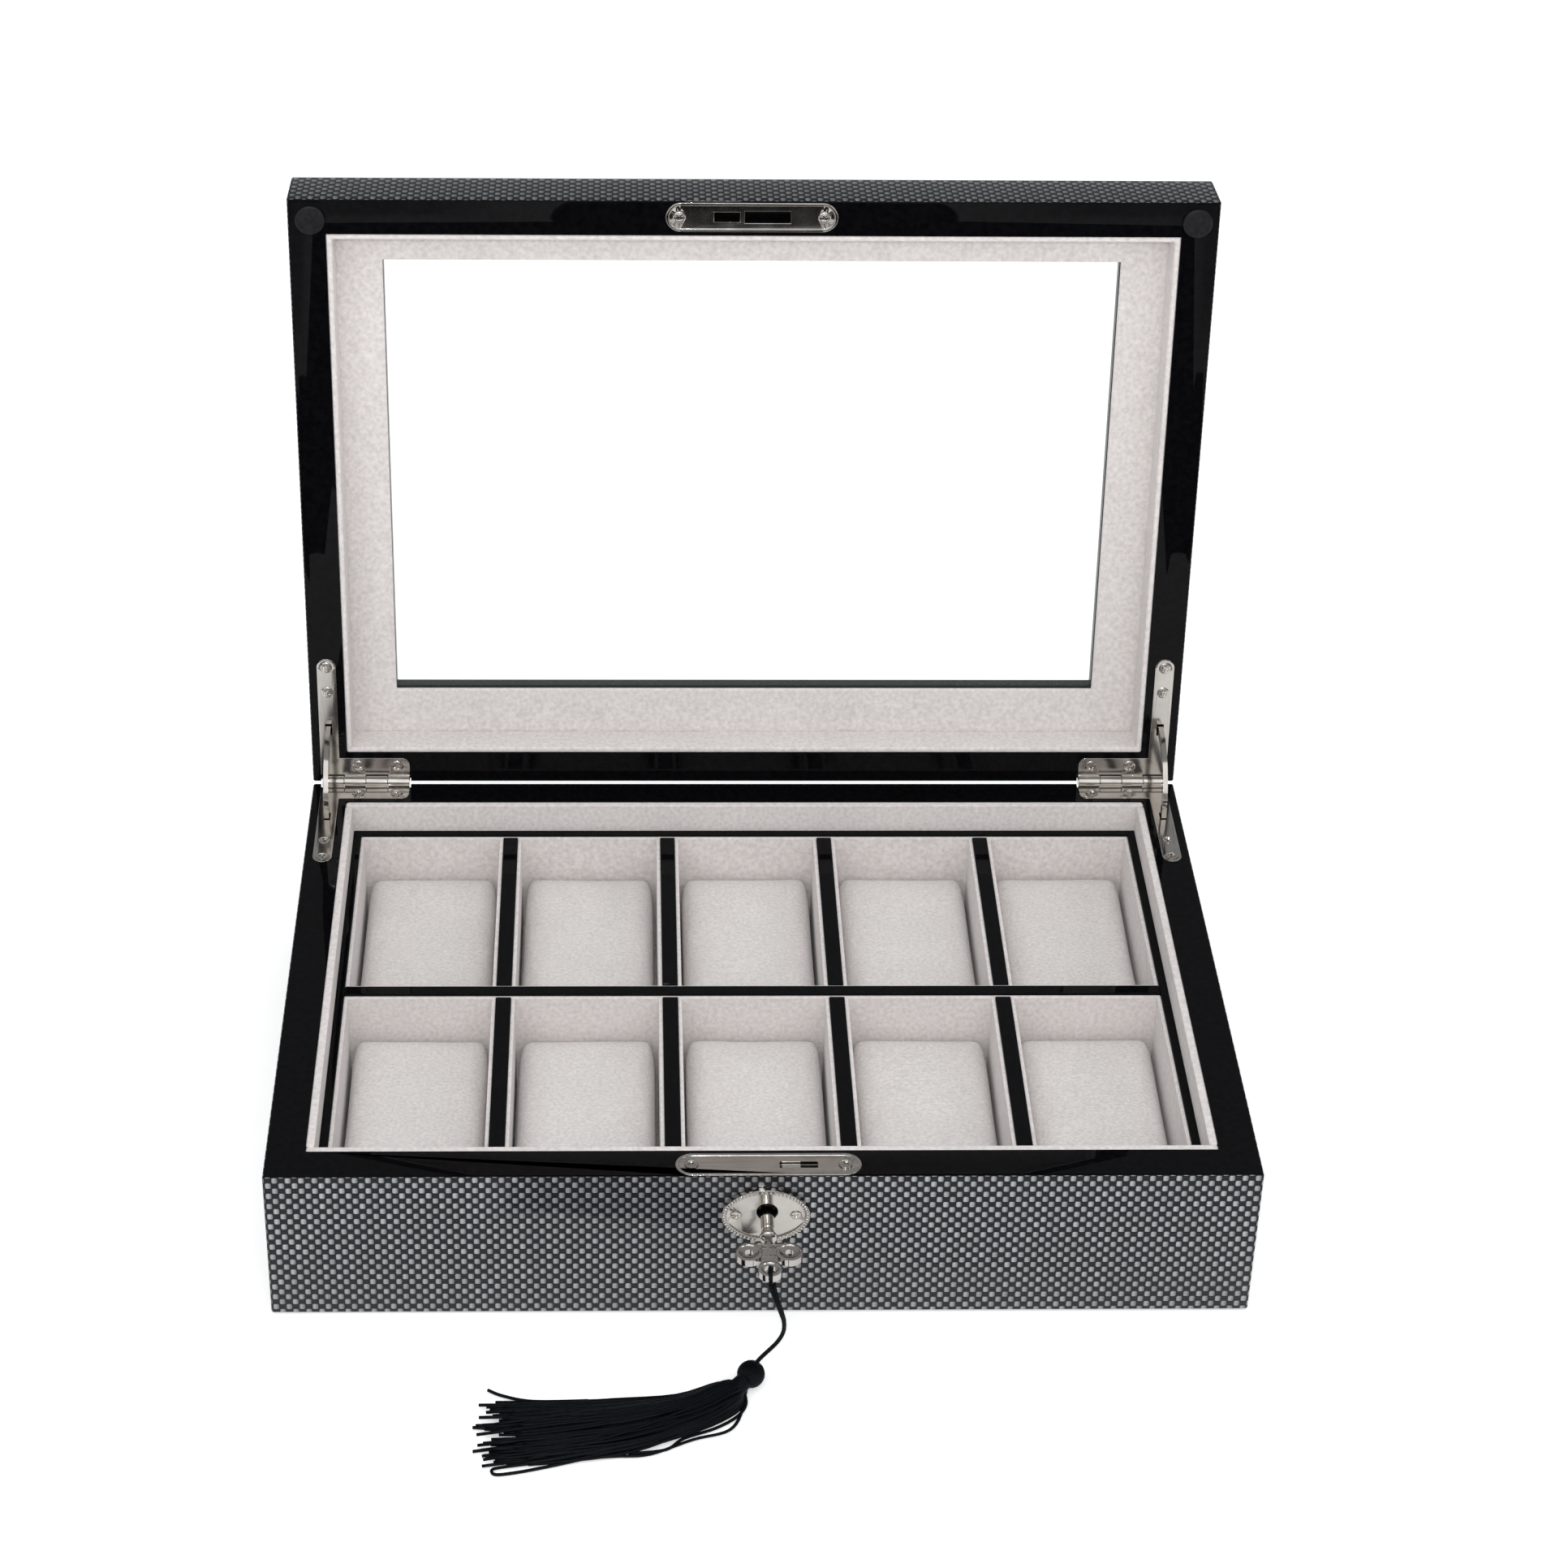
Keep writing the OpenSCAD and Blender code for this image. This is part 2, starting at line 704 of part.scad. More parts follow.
module key_cord() {
    n = len(cord_route);
    points = [
        for (i = [0 : n - 1]) let (f = ring_frame(i, n)) for (k = [0 : cord_sides - 1])
            let (a = 360 * k / cord_sides)
            cord_route[i] + cord_d / 2 * (cos(a) * f[0] + sin(a) * f[1])
    ];
    walls = [
        for (i = [0 : n - 2]) for (k = [0 : cord_sides - 1])
            let (next = (k + 1) % cord_sides, row = i * cord_sides)
            [row + k, row + next, row + cord_sides + next, row + cord_sides + k]
    ];
    start = [[for (k = [0 : cord_sides - 1]) cord_sides - 1 - k]];
    end = [[for (k = [0 : cord_sides - 1]) (n - 1) * cord_sides + k]];
    color([0.03, 0.03, 0.04]) polyhedron(points, concat(start, walls, end));
}

module tassel_head() {
    color([0.03, 0.03, 0.04]) translate(tassel_head) sphere(d = tassel_head_d);
}

module tassel_skirt() {
    color([0.03, 0.03, 0.04]) translate([0, 0, skirt_bottom]) {
        linear_extrude(tassel_t) polygon(skirt_outline);
    }
}

// Hinges

module hinge_base_leaf(side) {
    color([0.85, 0.84, 0.82]) on_side(side) difference() {
        leaf(base_h - leaf_t, 0, pin_r);
        at_leaf_screws(base_h) screw_room();
    }
}

module hinge_lid_leaf(side) {
    color([0.85, 0.84, 0.82]) opened() on_side(side) difference() {
        leaf(lid_z, 1, pin_r + pin_clear);
        translate([0, 0, 2 * lid_z]) mirror([0, 0, 1]) at_leaf_screws(lid_z) screw_room();
    }
}

module hinge_pin(side) {
    color([0.8, 0.79, 0.77]) on_side(side) {
        on_pin(pin_r, knuckle_start, leaf_back_len - leaf_arm_w / 2 - knuckle_gap);
    }
}

// A curved flat bar about the pin axis, with a stop peg across each end
module hinge_stay(side) {
    span = open_angle + 2 * stay_end_angle;
    color([0.82, 0.81, 0.79]) on_side(side) {
        translate([hinge_x, back_y, hinge_z]) rotate([0, -90, 0]) rotate([0, 0, -90]) {
            rotate([0, 0, -stay_end_angle]) linear_extrude(stay_t, center = true) {
                stay_arc(span);
            }
            for (a = [-stay_peg_angle, open_angle + stay_peg_angle]) {
                rotate([0, 0, a]) translate([stay_r - stay_w / 2, 0, 0]) {
                    cylinder(r = stay_peg_r, h = stay_peg_len, center = true);
                }
            }
        }
    }
}

// A flat arc of the stay's width, from angle 0 to span, which is over 90 degrees
module stay_arc(span) {
    big = 2 * stay_r;
    difference() {
        circle(stay_r);
        circle(stay_r - stay_w);
        polygon([
            [0, 0], [big, 0], [big, -big], [-big, -big],
            [-big, 0], big * 2 * [cos(span), sin(span)]
        ]);
    }
}

module hinge_base_screws() {
    color([0.85, 0.84, 0.82]) for (side = SIDES) on_side(side[1]) {
        at_leaf_screws(base_h) screw();
    }
}

module hinge_lid_screws() {
    color([0.85, 0.84, 0.82]) opened() for (side = SIDES) on_side(side[1]) {
        translate([0, 0, 2 * lid_z]) mirror([0, 0, 1]) at_leaf_screws(lid_z) screw();
    }
}

// Lid

module lid_walls() {
    color([0.13, 0.13, 0.15]) opened() difference() {
        ring_block([-half_w, front_y], [half_w, back_y],
            [-inner_x, inner_front_y], [inner_x, inner_back_y], lid_z, lid_wall_h);
        for (side = SIDES) on_side(side[1]) lid_hinge_room();
        at_strike(lid_z - 1) linear_extrude(plate_t + 1) stadium(strike_w, strike_d);
        strike_holes(strike_pocket_h);
        at_strike_screws() screw_room();
    }
}

module lid_top_frame() {
    color([0.13, 0.13, 0.15]) opened() difference() {
        ring_block([-half_w, front_y], [half_w, back_y],
            [-window_x, window_front_y], [window_x, window_back_y], top_frame_z, lid_top_t);
        block([-window_x - glass_seat, window_front_y - glass_seat, top_frame_z - 1],
            [window_x + glass_seat, window_back_y + glass_seat, top_frame_z + glass_t]);
    }
}

module lid_glass() {
    color([0.8, 0.9, 0.9, 0.3]) opened() {
        block([-window_x - glass_seat, window_front_y - glass_seat, top_frame_z],
            [window_x + glass_seat, window_back_y + glass_seat, top_frame_z + glass_t]);
    }
}

module lid_lining_boards() {
    color([0.84, 0.81, 0.8]) opened() {
        ring_block([-inner_x, inner_front_y], [inner_x, inner_back_y],
            [lid_board_t - inner_x, inner_front_y + lid_board_t],
            [inner_x - lid_board_t, inner_back_y - lid_board_t],
            lid_z + lining_top_drop, panel_z - lid_z - lining_top_drop);
    }
}

module lid_window_panel() {
    color([0.84, 0.81, 0.8]) opened() {
        ring_block([-inner_x, inner_front_y], [inner_x, inner_back_y],
            [-window_x, window_front_y], [window_x, window_back_y], panel_z, panel_t);
    }
}

module at_strike(z) {
    translate([strike_x, strike_y, z]) children();
}

module strike_holes(depth) {
    for (slot = strike_slots) {
        block([slot[0] - slot[1] / 2, strike_y - slot[2] / 2, lid_z - 1],
            [slot[0] + slot[1] / 2, strike_y + slot[2] / 2, lid_z + depth]);
    }
}

module at_strike_screws() {
    for (side = [-1, 1]) {
        translate([strike_x + side * strike_screw_pitch / 2, strike_y, lid_z - plate_proud]) {
            mirror([0, 0, 1]) children();
        }
    }
}

module strike_plate() {
    bead = 1.1;
    color([0.8, 0.79, 0.77]) opened() difference() {
        at_strike(lid_z - plate_proud) {
            linear_extrude(plate_t + plate_proud) stadium(strike_w, strike_d);
        }
        at_strike(lid_z - 1) linear_extrude(1) stadium(strike_w - 2 * bead, strike_d - 2 * bead);
        strike_holes(2);
        at_strike_screws() screw_room();
    }
}

module strike_plate_screws() {
    color([0.85, 0.84, 0.82]) opened() at_strike_screws() screw();
}

module bumper_pads() {
    pad_inset = 8;
    pad_r = 5.3;
    pad_h = 1.4;
    color([0.1, 0.1, 0.11, 0.5]) opened() for (side = [-1, 1]) {
        translate([side * (half_w - pad_inset), front_y + pad_inset - 0.2, lid_z - pad_h]) {
            cylinder(r = pad_r, h = pad_h);
        }
    }
}

// One line for each node
base_front_wall();
base_back_wall();
base_left_wall();
base_right_wall();
base_floor_board();
base_felt();
lining_front();
lining_back();
lining_left();
lining_right();
floor_lining();
tray_frame();
tray_middle_rail();
compartment_linings();
lock_case();
lock_edge_plate();
lock_plate_screws();
lock_bolt();
escutcheon();
escutcheon_screws();
key();
key_cord();
tassel_head();
tassel_skirt();
hinge_base_screws();
hinge_lid_screws();
lid_walls();
lid_top_frame();
lid_glass();
lid_lining_boards();
lid_window_panel();
strike_plate();
strike_plate_screws();
bumper_pads();
for (i = DIVIDERS) {
    divider(i, rear_cell_y);
    divider(i, front_cell_y);
}
for (i = CUSHIONS) {
    watch_cushion(i);
}
for (side = SIDES) {
    name = str(side[0], "_hinge_");
    hinge_base_leaf(side[1]);
    hinge_lid_leaf(side[1]);
    hinge_pin(side[1]);
    hinge_stay(side[1]);
}
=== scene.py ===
import math
import random
import bpy
from mathutils import Matrix, Vector, noise


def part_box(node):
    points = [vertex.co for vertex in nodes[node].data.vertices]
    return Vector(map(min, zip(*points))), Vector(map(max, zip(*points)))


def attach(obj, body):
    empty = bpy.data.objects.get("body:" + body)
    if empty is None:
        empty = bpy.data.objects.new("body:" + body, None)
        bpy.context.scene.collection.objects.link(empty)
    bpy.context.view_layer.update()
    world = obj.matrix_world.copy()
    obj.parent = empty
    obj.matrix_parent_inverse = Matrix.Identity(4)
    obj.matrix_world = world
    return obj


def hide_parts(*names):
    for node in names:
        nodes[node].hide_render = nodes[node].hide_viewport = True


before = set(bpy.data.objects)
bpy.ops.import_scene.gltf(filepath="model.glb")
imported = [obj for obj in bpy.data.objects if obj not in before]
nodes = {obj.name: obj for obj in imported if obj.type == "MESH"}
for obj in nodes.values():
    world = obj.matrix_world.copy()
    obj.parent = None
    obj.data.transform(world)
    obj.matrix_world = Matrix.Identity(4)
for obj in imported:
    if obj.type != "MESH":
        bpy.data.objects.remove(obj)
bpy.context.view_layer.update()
scene = bpy.context.scene
mm = 0.001

# The camera is a long lens in front of the box and a little to its left, looking down
# on the open lid and the tray. It is turned slightly to the right of square on.
camera_place = (-0.0471, -1.0203, 0.8147)
camera_pitch = math.radians(33.2)
camera_yaw = math.radians(1.694)
camera_roll = math.radians(0.938)
camera_data = bpy.data.cameras.new("camera")
camera_data.sensor_width = 36
camera_data.lens = 81.757
camera_data.shift_x = 0.0473
camera_data.shift_y = -0.0153
camera = bpy.data.objects.new("camera", camera_data)
scene.collection.objects.link(camera)
turn = Matrix.Rotation(-camera_yaw, 3, "Z")
tilt = Matrix.Rotation(math.radians(90) - camera_pitch, 3, "X")
lean = Matrix.Rotation(camera_roll, 3, "Z")
camera.location = camera_place
camera.rotation_euler = (turn @ tilt @ lean).to_euler()
scene.camera = camera
scene.view_settings.view_transform = "Standard"


# The key's cord is black satin twine of three strands. It hangs from its loop in the
# key's end ring and swings down to the tassel, which lies on the surface.
cord_diameter = 1.4 * mm
cord_route = [
    (1, -152.5, 44.2), (1.1, -153.6, 44), (1.5, -154.7, 43.1), (2.1, -155.5, 41.6),
    (2.9, -155.9, 39.5), (3.8, -156, 37), (4.6, -155.9, 34.4), (5.3, -155.6, 31.8),
    (5.6, -155.3, 29.2), (5.5, -154.9, 26.6), (4.9, -154.5, 24), (3.9, -154.1, 21.5),
    (2.6, -153.7, 19.1), (1.1, -153.3, 16.8), (-0.5, -152.9, 14.4), (-2, -152.5, 12),
    (-3.1, -152.2, 9.75)
]


def smooth_path(points, steps):
    """Points along a smooth curve that passes through every given point"""
    path = []
    last = len(points) - 1
    for i in range(last):
        before, start = points[max(i - 1, 0)], points[i]
        end, after = points[i + 1], points[min(i + 2, last)]
        for step in range(steps):
            t = step / steps
            bend = 2 * before - 5 * start + 4 * end - after
            swing = 3 * start - before - 3 * end + after
            path.append(start + 0.5 * ((end - before) * t + bend * t ** 2 + swing * t ** 3))
    path.append(points[last])
    return path


def threads(name, paths, radius, sides=6, lobes=0, pitch=3 * mm):
    """One mesh of closed tubes along the paths; lobes give a tube twisted strands"""
    points, faces = [], []
    for path in paths:
        first = len(points)
        side = (path[1] - path[0]).orthogonal().normalized()
        run = 0
        for i, here in enumerate(path):
            ahead = (path[min(i + 1, len(path) - 1)] - path[max(i - 1, 0)]).normalized()
            side = (side - ahead * side.dot(ahead)).normalized()
            across = ahead.cross(side)
            run += (here - path[i - 1]).length if i else 0
            for k in range(sides):
                angle = math.tau * k / sides
                swell = 1 + (0.17 * math.cos(lobes * (angle - math.tau * run / pitch)) if lobes else 0)
                reach = radius * swell / (1.04 if lobes else 1)
                points.append(here + reach * (math.cos(angle) * side + math.sin(angle) * across))
        for i in range(len(path) - 1):
            row = first + i * sides
            for k in range(sides):
                after = (k + 1) % sides
                faces.append((row + k, row + after, row + sides + after, row + sides + k))
        faces.append(tuple(first + sides - 1 - k for k in range(sides)))
        faces.append(tuple(first + (len(path) - 1) * sides + k for k in range(sides)))
    mesh = bpy.data.meshes.new(name)
    mesh.from_pydata([tuple(p) for p in points], [], faces)
    mesh.shade_smooth()
    piece = bpy.data.objects.new(name, mesh)
    scene.collection.objects.link(piece)
    return piece


def new_material(name, values):
    """A material of one Principled shader whose own sockets hold the given values"""
    material = bpy.data.materials.new(name)
    material.use_nodes = True
    shader = material.node_tree.nodes["Principled BSDF"]
    for socket, value in values.items():
        shader.inputs[socket].default_value = value
    return material


def add(material, kind, inputs, output=0, **settings):
    """Adds a shader node, sets or links its inputs, and returns one of its outputs"""
    made = material.node_tree.nodes.new("ShaderNode" + kind)
    for setting, value in settings.items():
        setattr(made, setting, value)
    for socket, value in inputs.items():
        if isinstance(value, bpy.types.NodeSocket):
            material.node_tree.links.new(value, made.inputs[socket])
        else:
            made.inputs[socket].default_value = value
    return made.outputs[output]


def place_in(material, scale=(1, 1, 1)):
    """Coordinates in the piece's own frame, in metres, stretched by scale"""
    here = add(material, "TexCoord", {}, output="Object")
    return add(material, "Mapping", {"Vector": here, "Scale": scale})


def speckle(material, scale, detail=3.0, stretch=(1, 1, 1)):
    inputs = {"Vector": place_in(material, stretch), "Scale": scale, "Detail": detail}
    return add(material, "TexNoise", inputs, output="Fac")


def ramp(material, factor, *stops):
    """A colour that runs through the stops, each a position and a colour"""
    out = add(material, "ValToRGB", {"Fac": factor})
    elements = out.node.color_ramp.elements
    while len(elements) < len(stops):
        elements.new(0.5)
    for element, (position, colour) in zip(elements, stops):
        element.position = position
        element.color = (*colour, 1)
    return out


def drive(material, **links):
    """Links outputs to the shader's sockets, whose names are written with underscores"""
    shader = material.node_tree.nodes["Principled BSDF"]
    for socket, value in links.items():
        material.node_tree.links.new(value, shader.inputs[socket.replace("_", " ")])


def bump(material, height, distance, strength=1.0):
    return add(material, "Bump", {"Height": height, "Distance": distance, "Strength": strength})


def spread(material, factor, low, high):
    """The factor, from 0 to 1, taken to a range from low to high"""
    return add(material, "MapRange", {"Value": factor, "To Min": low, "To Max": high})


thread = new_material("black_satin_thread", {
    "Sheen Weight": 0.02, "Sheen Roughness": 0.3, "Sheen Tint": (0.4, 0.7, 0.85, 1),
    "Specular IOR Level": 0.1
})
fibre = speckle(thread, 2600, stretch=(0.35, 1, 1))
drive(
    thread,
    Base_Color=ramp(thread, fibre, (0.3, (0.0004, 0.0006, 0.0012)), (0.75, (0.0017, 0.0025, 0.0045))),
    Roughness=spread(thread, fibre, 0.38, 0.6),
    Normal=bump(thread, fibre, 0.00015, 0.6)
)

cord_path = smooth_path([Vector(p) * mm for p in cord_route], 5)
cord = threads("twisted_key_cord", [cord_path], cord_diameter / 2, 15, lobes=3)
cord.data.materials.append(thread)
# The loop's second end lies beside the cord and is twisted into it lower down
beside_cord = Vector((1.25, 0.2, 0.1)) * mm
second_route = [
    Vector(p) * mm + beside_cord * (1 - i / 8) for i, p in enumerate(cord_route[:9])
]
second_end = threads("cord_second_end", [smooth_path(second_route, 5)], cord_diameter / 2, 15, lobes=3)
second_end.data.materials.append(thread)

# The tassel's head is a knotted ball of the same thread, wound from pole to pole, with
# a short whipped neck. It lies on its side and the skirt leaves it to the left.
head_middle = Vector((-4.6, -152, 5)) * mm
neck_way = Vector((-3.9, -4.7, -0.6)).normalized()
head_side = neck_way.cross(Vector((0, 0, 1))).normalized()
head_up = head_side.cross(neck_way)
wound_radius = 4.15 * mm
head_thread = 0.52 * mm
head_winds, wind_steps = 26, 12


def around_neck(angle, along, radius):
    """A point round the neck's axis, at a distance along it from the ball's middle"""
    return head_middle + neck_way * along + radius * (
        math.cos(angle) * head_side + math.sin(angle) * head_up
    )


head_threads = []
for k in range(head_winds):
    wind = []
    for step in range(wind_steps + 1):
        rise = math.pi * (0.03 + 0.94 * step / wind_steps)
        angle = math.tau * k / head_winds + 1.3 * step / wind_steps
        wind.append(around_neck(angle, -wound_radius * math.cos(rise), wound_radius * math.sin(rise)))
    head_threads.append(wind)
neck_turns, neck_steps = 6, 14
whipping = []
for step in range(neck_turns * neck_steps + 1):
    share = step / (neck_turns * neck_steps)
    angle = math.tau * neck_turns * share
    whipping.append(around_neck(angle, (4.2 + 4.6 * share) * mm, (2.45 + 0.25 * share) * mm))
head_threads.append(whipping)
head = threads("tassel_knot", head_threads, head_thread)
bpy.ops.object.select_all(action="DESELECT")
bpy.ops.mesh.primitive_uv_sphere_add(
    segments=24, ring_count=12, radius=wound_radius, location=head_middle
)
core = bpy.context.object
bpy.ops.object.transform_apply(location=True, rotation=True, scale=True)


def joined(name, pieces):
    """The pieces as one mesh"""
    bpy.ops.object.select_all(action="DESELECT")
    for piece in pieces:
        piece.select_set(True)
    bpy.context.view_layer.objects.active = pieces[0]
    if len(pieces) > 1:
        bpy.ops.object.join()
    pieces[0].name = name
    return pieces[0]


head = joined("tassel_knot", [head, core])
head.data.shade_smooth()
head.data.materials.clear()
head.data.materials.append(thread)

# The tassel's skirt is some two hundred cut ends of thread. They leave the neck in a
# tight bundle, swell to a shoulder, and lie fanned out on the surface with ragged ends.
strand_count = 210
strand_radius = 0.55 * mm
lowest_middle = 0.75
# Each station: the skirt's rear edge, its front edge, and its height there
skirt_stations = [
    ((-10, -154.8), (-6.6, -158.6), 6.0), ((-16, -154.6), (-9.4, -166), 8.4),
    ((-30, -159.4), (-22, -175.4), 7.4), ((-51, -160.2), (-44, -184.6), 6.2),
    ((-72, -160.6), (-66, -188.6), 5.0), ((-90, -160.2), (-87, -190.4), 4.0)
]
random.seed(11)
strands = []
for k in range(strand_count):
    share = random.uniform(0.03, 0.97)
    level = random.uniform(0, 1) ** 0.7
    drift = random.uniform(-0.1, 0.1)
    cut = 0.8 * random.random() ** 3 - 0.5
    wave = random.uniform(0, math.tau)
    points = [around_neck(random.uniform(0, math.tau), 3.6 * mm, 1.7 * random.random() ** 0.5 * mm)]
    for i, (rear, front, height) in enumerate(skirt_stations):
        u = share + drift * i / 5 + 0.025 * math.sin(1.9 * i + wave)
        u = min(max(u, 0.01), 0.99)
        reach = Vector(rear).lerp(Vector(front), u)
        dome = math.sqrt(1 - (2 * u - 1) ** 2)
        lift = lowest_middle + (height - 1.3) * level * dome
        points.append(Vector((reach.x, reach.y, lift)) * mm)
    points[-1] = points[-1] + (points[-1] - points[-2]) * cut
    points[-1].z = max(points[-1].z * 0.8, lowest_middle * mm)
    strands.append(smooth_path(points, 4))
# Threads that stray from the bundle, and one uncut thread that turns back in a loop
stray_routes = [
    [(-7.4, -157.8, 4), (-6.4, -162.5, 2), (-9.2, -167.4, 1), (-16.5, -172.8, 0.8), (-27, -177.6, 0.9),
     (-33, -182.6, 0.8), (-45, -184.4, 1)],
    [(-8.6, -157.4, 3.4), (-7.6, -164, 1.4), (-12, -173.6, 0.8), (-24, -178, 0.8), (-38, -184.6, 0.8),
     (-49, -185.6, 0.9), (-60, -186.6, 1)],
    [(-9, -156.8, 5), (-14, -162.6, 6.4), (-26, -170.4, 6.9), (-43, -178, 5.6), (-62, -184, 3.4)],
    [(-60, -187.2, 1.2), (-72, -190.4, 0.85), (-81, -192.6, 0.8), (-87.4, -193.4, 0.8),
     (-88.4, -191.2, 0.85), (-84, -190, 0.9), (-74, -188.6, 1.2)],
    [(-58, -160.4, 1.4), (-76, -160, 0.8), (-86, -157.4, 0.8), (-91, -154.6, 0.8)],
    [(-70, -171, 1.4), (-86, -172.6, 0.9), (-95.4, -172, 0.8)],
    [(-70, -178, 1.4), (-86, -181.4, 0.9), (-95, -183, 0.8)]
]
for route in stray_routes:
    strands.append(smooth_path([Vector(p) * mm for p in route], 6))
skirt = threads("tassel_threads", strands, strand_radius, 6)
skirt.data.materials.append(thread)
for piece, node in ((cord, "key_cord"), (head, "tassel_head"), (skirt, "tassel_skirt")):
    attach(piece, "base")
    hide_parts(node)
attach(second_end, "base")

# The floor is a plain pale studio sweep, lit a little from below. Big soft lamps hang
# over the box, before it, behind it and to its right, and a small bright lamp beside
# the camera puts short glints on its edges.
bpy.ops.object.select_all(action="DESELECT")
bpy.ops.mesh.primitive_plane_add(size=40)
floor = bpy.context.object
floor.name = "studio_floor"
paper = new_material("studio_paper", {
    "Roughness": 0.9, "Specular IOR Level": 0.1,
    "Emission Color": (1, 1, 1, 1), "Emission Strength": 0.32
})
paper_grain = speckle(paper, 300)
drive(paper, Base_Color=ramp(paper, paper_grain, (0, (0.9, 0.9, 0.9)), (1, (0.94, 0.94, 0.94))))
floor.data.materials.append(paper)
# A black card before the box is seen only in reflections, and keeps the lid's rim dark
bpy.ops.object.select_all(action="DESELECT")
bpy.ops.mesh.primitive_plane_add(size=1, location=(0, -0.95, 0.002))
card = bpy.context.object
card.name = "black_card"
card.scale = (1.6, 1.1, 1)
card.visible_camera = False
card.visible_diffuse = False
card.visible_transmission = False
card.visible_shadow = False
card_black = new_material("card_black", {"Specular IOR Level": 0.0})
card_grain = speckle(card_black, 200)
drive(
    card_black,
    Base_Color=ramp(card_black, card_grain, (0, (0.01, 0.01, 0.01)), (1, (0.014, 0.014, 0.014)))
)
card.data.materials.append(card_black)
studio = bpy.data.worlds.new("studio")
scene.world = studio
studio.use_nodes = True
daylight = studio.node_tree.nodes["Background"]
daylight.inputs["Color"].default_value = (0.96, 0.98, 1, 1)
daylight.inputs["Strength"].default_value = 0.4
# Each lamp's name, place, size, power, and whether it is seen in reflections
lamps = [
    ("top_lamp", (0, 0.15, 2.7), 3.2, 14, False),
    ("front_lamp", (-0.3, -1.6, 1.6), 2.6, 26, True),
    ("back_lamp", (0, 2.3, 2.1), 2.4, 20, False),
    ("right_lamp", (1.7, -0.7, 1.5), 0.9, 6, True),
    ("small_lamp", (-0.06, -1.14, 0.95), 0.08, 4, True)
]
lamp_target = Vector((0, 0, 0.08))
for lamp_name, lamp_place, lamp_size, lamp_power, in_gloss in lamps:
    lamp_data = bpy.data.lights.new(lamp_name, "AREA")
    lamp_data.size = lamp_size
    lamp_data.energy = lamp_power
    lamp = bpy.data.objects.new(lamp_name, lamp_data)
    scene.collection.objects.link(lamp)
    lamp.visible_glossy = in_gloss
    lamp.location = lamp_place
    lamp.rotation_euler = (lamp_target - lamp.location).to_track_quat("-Z", "Y").to_euler()

# The base is a case of mitred fibreboard. A woven film covers its outer faces under
# deep clear lacquer, and its rim and the walls inside are black piano lacquer.
base_low, base_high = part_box("base_front_wall")
back_low, back_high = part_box("base_back_wall")
half_w = base_high.x
front_y, back_y = base_low.y, back_high.y
rim_z, foot_z = base_high.z, base_low.z
wall_t = base_high.y - base_low.y
edge_round = 0.7 * mm


def copied(name, *members):
    """A new mesh joined from copies of CAD nodes, with loose triangles merged"""
    made = []
    for member in members:
        copy = bpy.data.objects.new(name, nodes[member].data.copy())
        scene.collection.objects.link(copy)
        made.append(copy)
    piece = joined(name, made)
    piece.data.materials.clear()
    bpy.ops.object.mode_set(mode="EDIT")
    bpy.ops.mesh.select_all(action="SELECT")
    bpy.ops.mesh.customdata_custom_splitnormals_clear()
    bpy.ops.mesh.remove_doubles(threshold=0.005 * mm)
    bpy.ops.object.mode_set(mode="OBJECT")
    return piece


def choose(piece, kind, test):
    """Selects only the faces or edges that pass the test, and enters edit mode"""
    mesh = piece.data
    bpy.ops.object.select_all(action="DESELECT")
    piece.select_set(True)
    bpy.context.view_layer.objects.active = piece
    bpy.ops.object.mode_set(mode="EDIT")
    bpy.ops.mesh.select_mode(type=kind)
    bpy.ops.mesh.select_all(action="DESELECT")
    bpy.ops.object.mode_set(mode="OBJECT")
    for item in (mesh.edges if kind == "EDGE" else mesh.polygons):
        item.select = test(item)
    bpy.ops.object.mode_set(mode="EDIT")


def flattened(piece):
    """Dissolves the triangles of flat faces, so that edges can be rounded"""
    choose(piece, "FACE", lambda face: True)
    bpy.ops.mesh.dissolve_limited(angle_limit=math.radians(0.4))
    bpy.ops.object.mode_set(mode="OBJECT")


def is_at(value, *places):
    return any(abs(value - place) < 0.02 * mm for place in places)


def round_corners(piece, width, low_z, high_z, wide, front, back, hinge_rim):
    """Rounds the long outer edges of a case, but for its crisp rim along the hinges"""
    mesh = piece.data

    def outer(edge):
        a, b = (mesh.vertices[i].co for i in edge.vertices)
        at_side = is_at(abs(a.x), wide) and is_at(abs(b.x), wide)
        at_end = any(is_at(a.y, y) and is_at(b.y, y) for y in (front, back))
        level = any(is_at(a.z, z) and is_at(b.z, z) for z in (low_z, high_z))
        by_hinge = is_at(a.y, back) and is_at(b.y, back) and is_at(a.z, hinge_rim)
        return (at_side and at_end) or (level and (at_side or at_end) and not by_hinge)

    choose(piece, "EDGE", outer)
    bpy.ops.mesh.bevel(offset=width, segments=3, affect="EDGES", clamp_overlap=False)
    bpy.ops.object.mode_set(mode="OBJECT")
    bpy.ops.object.shade_smooth_by_angle(angle=math.radians(30))


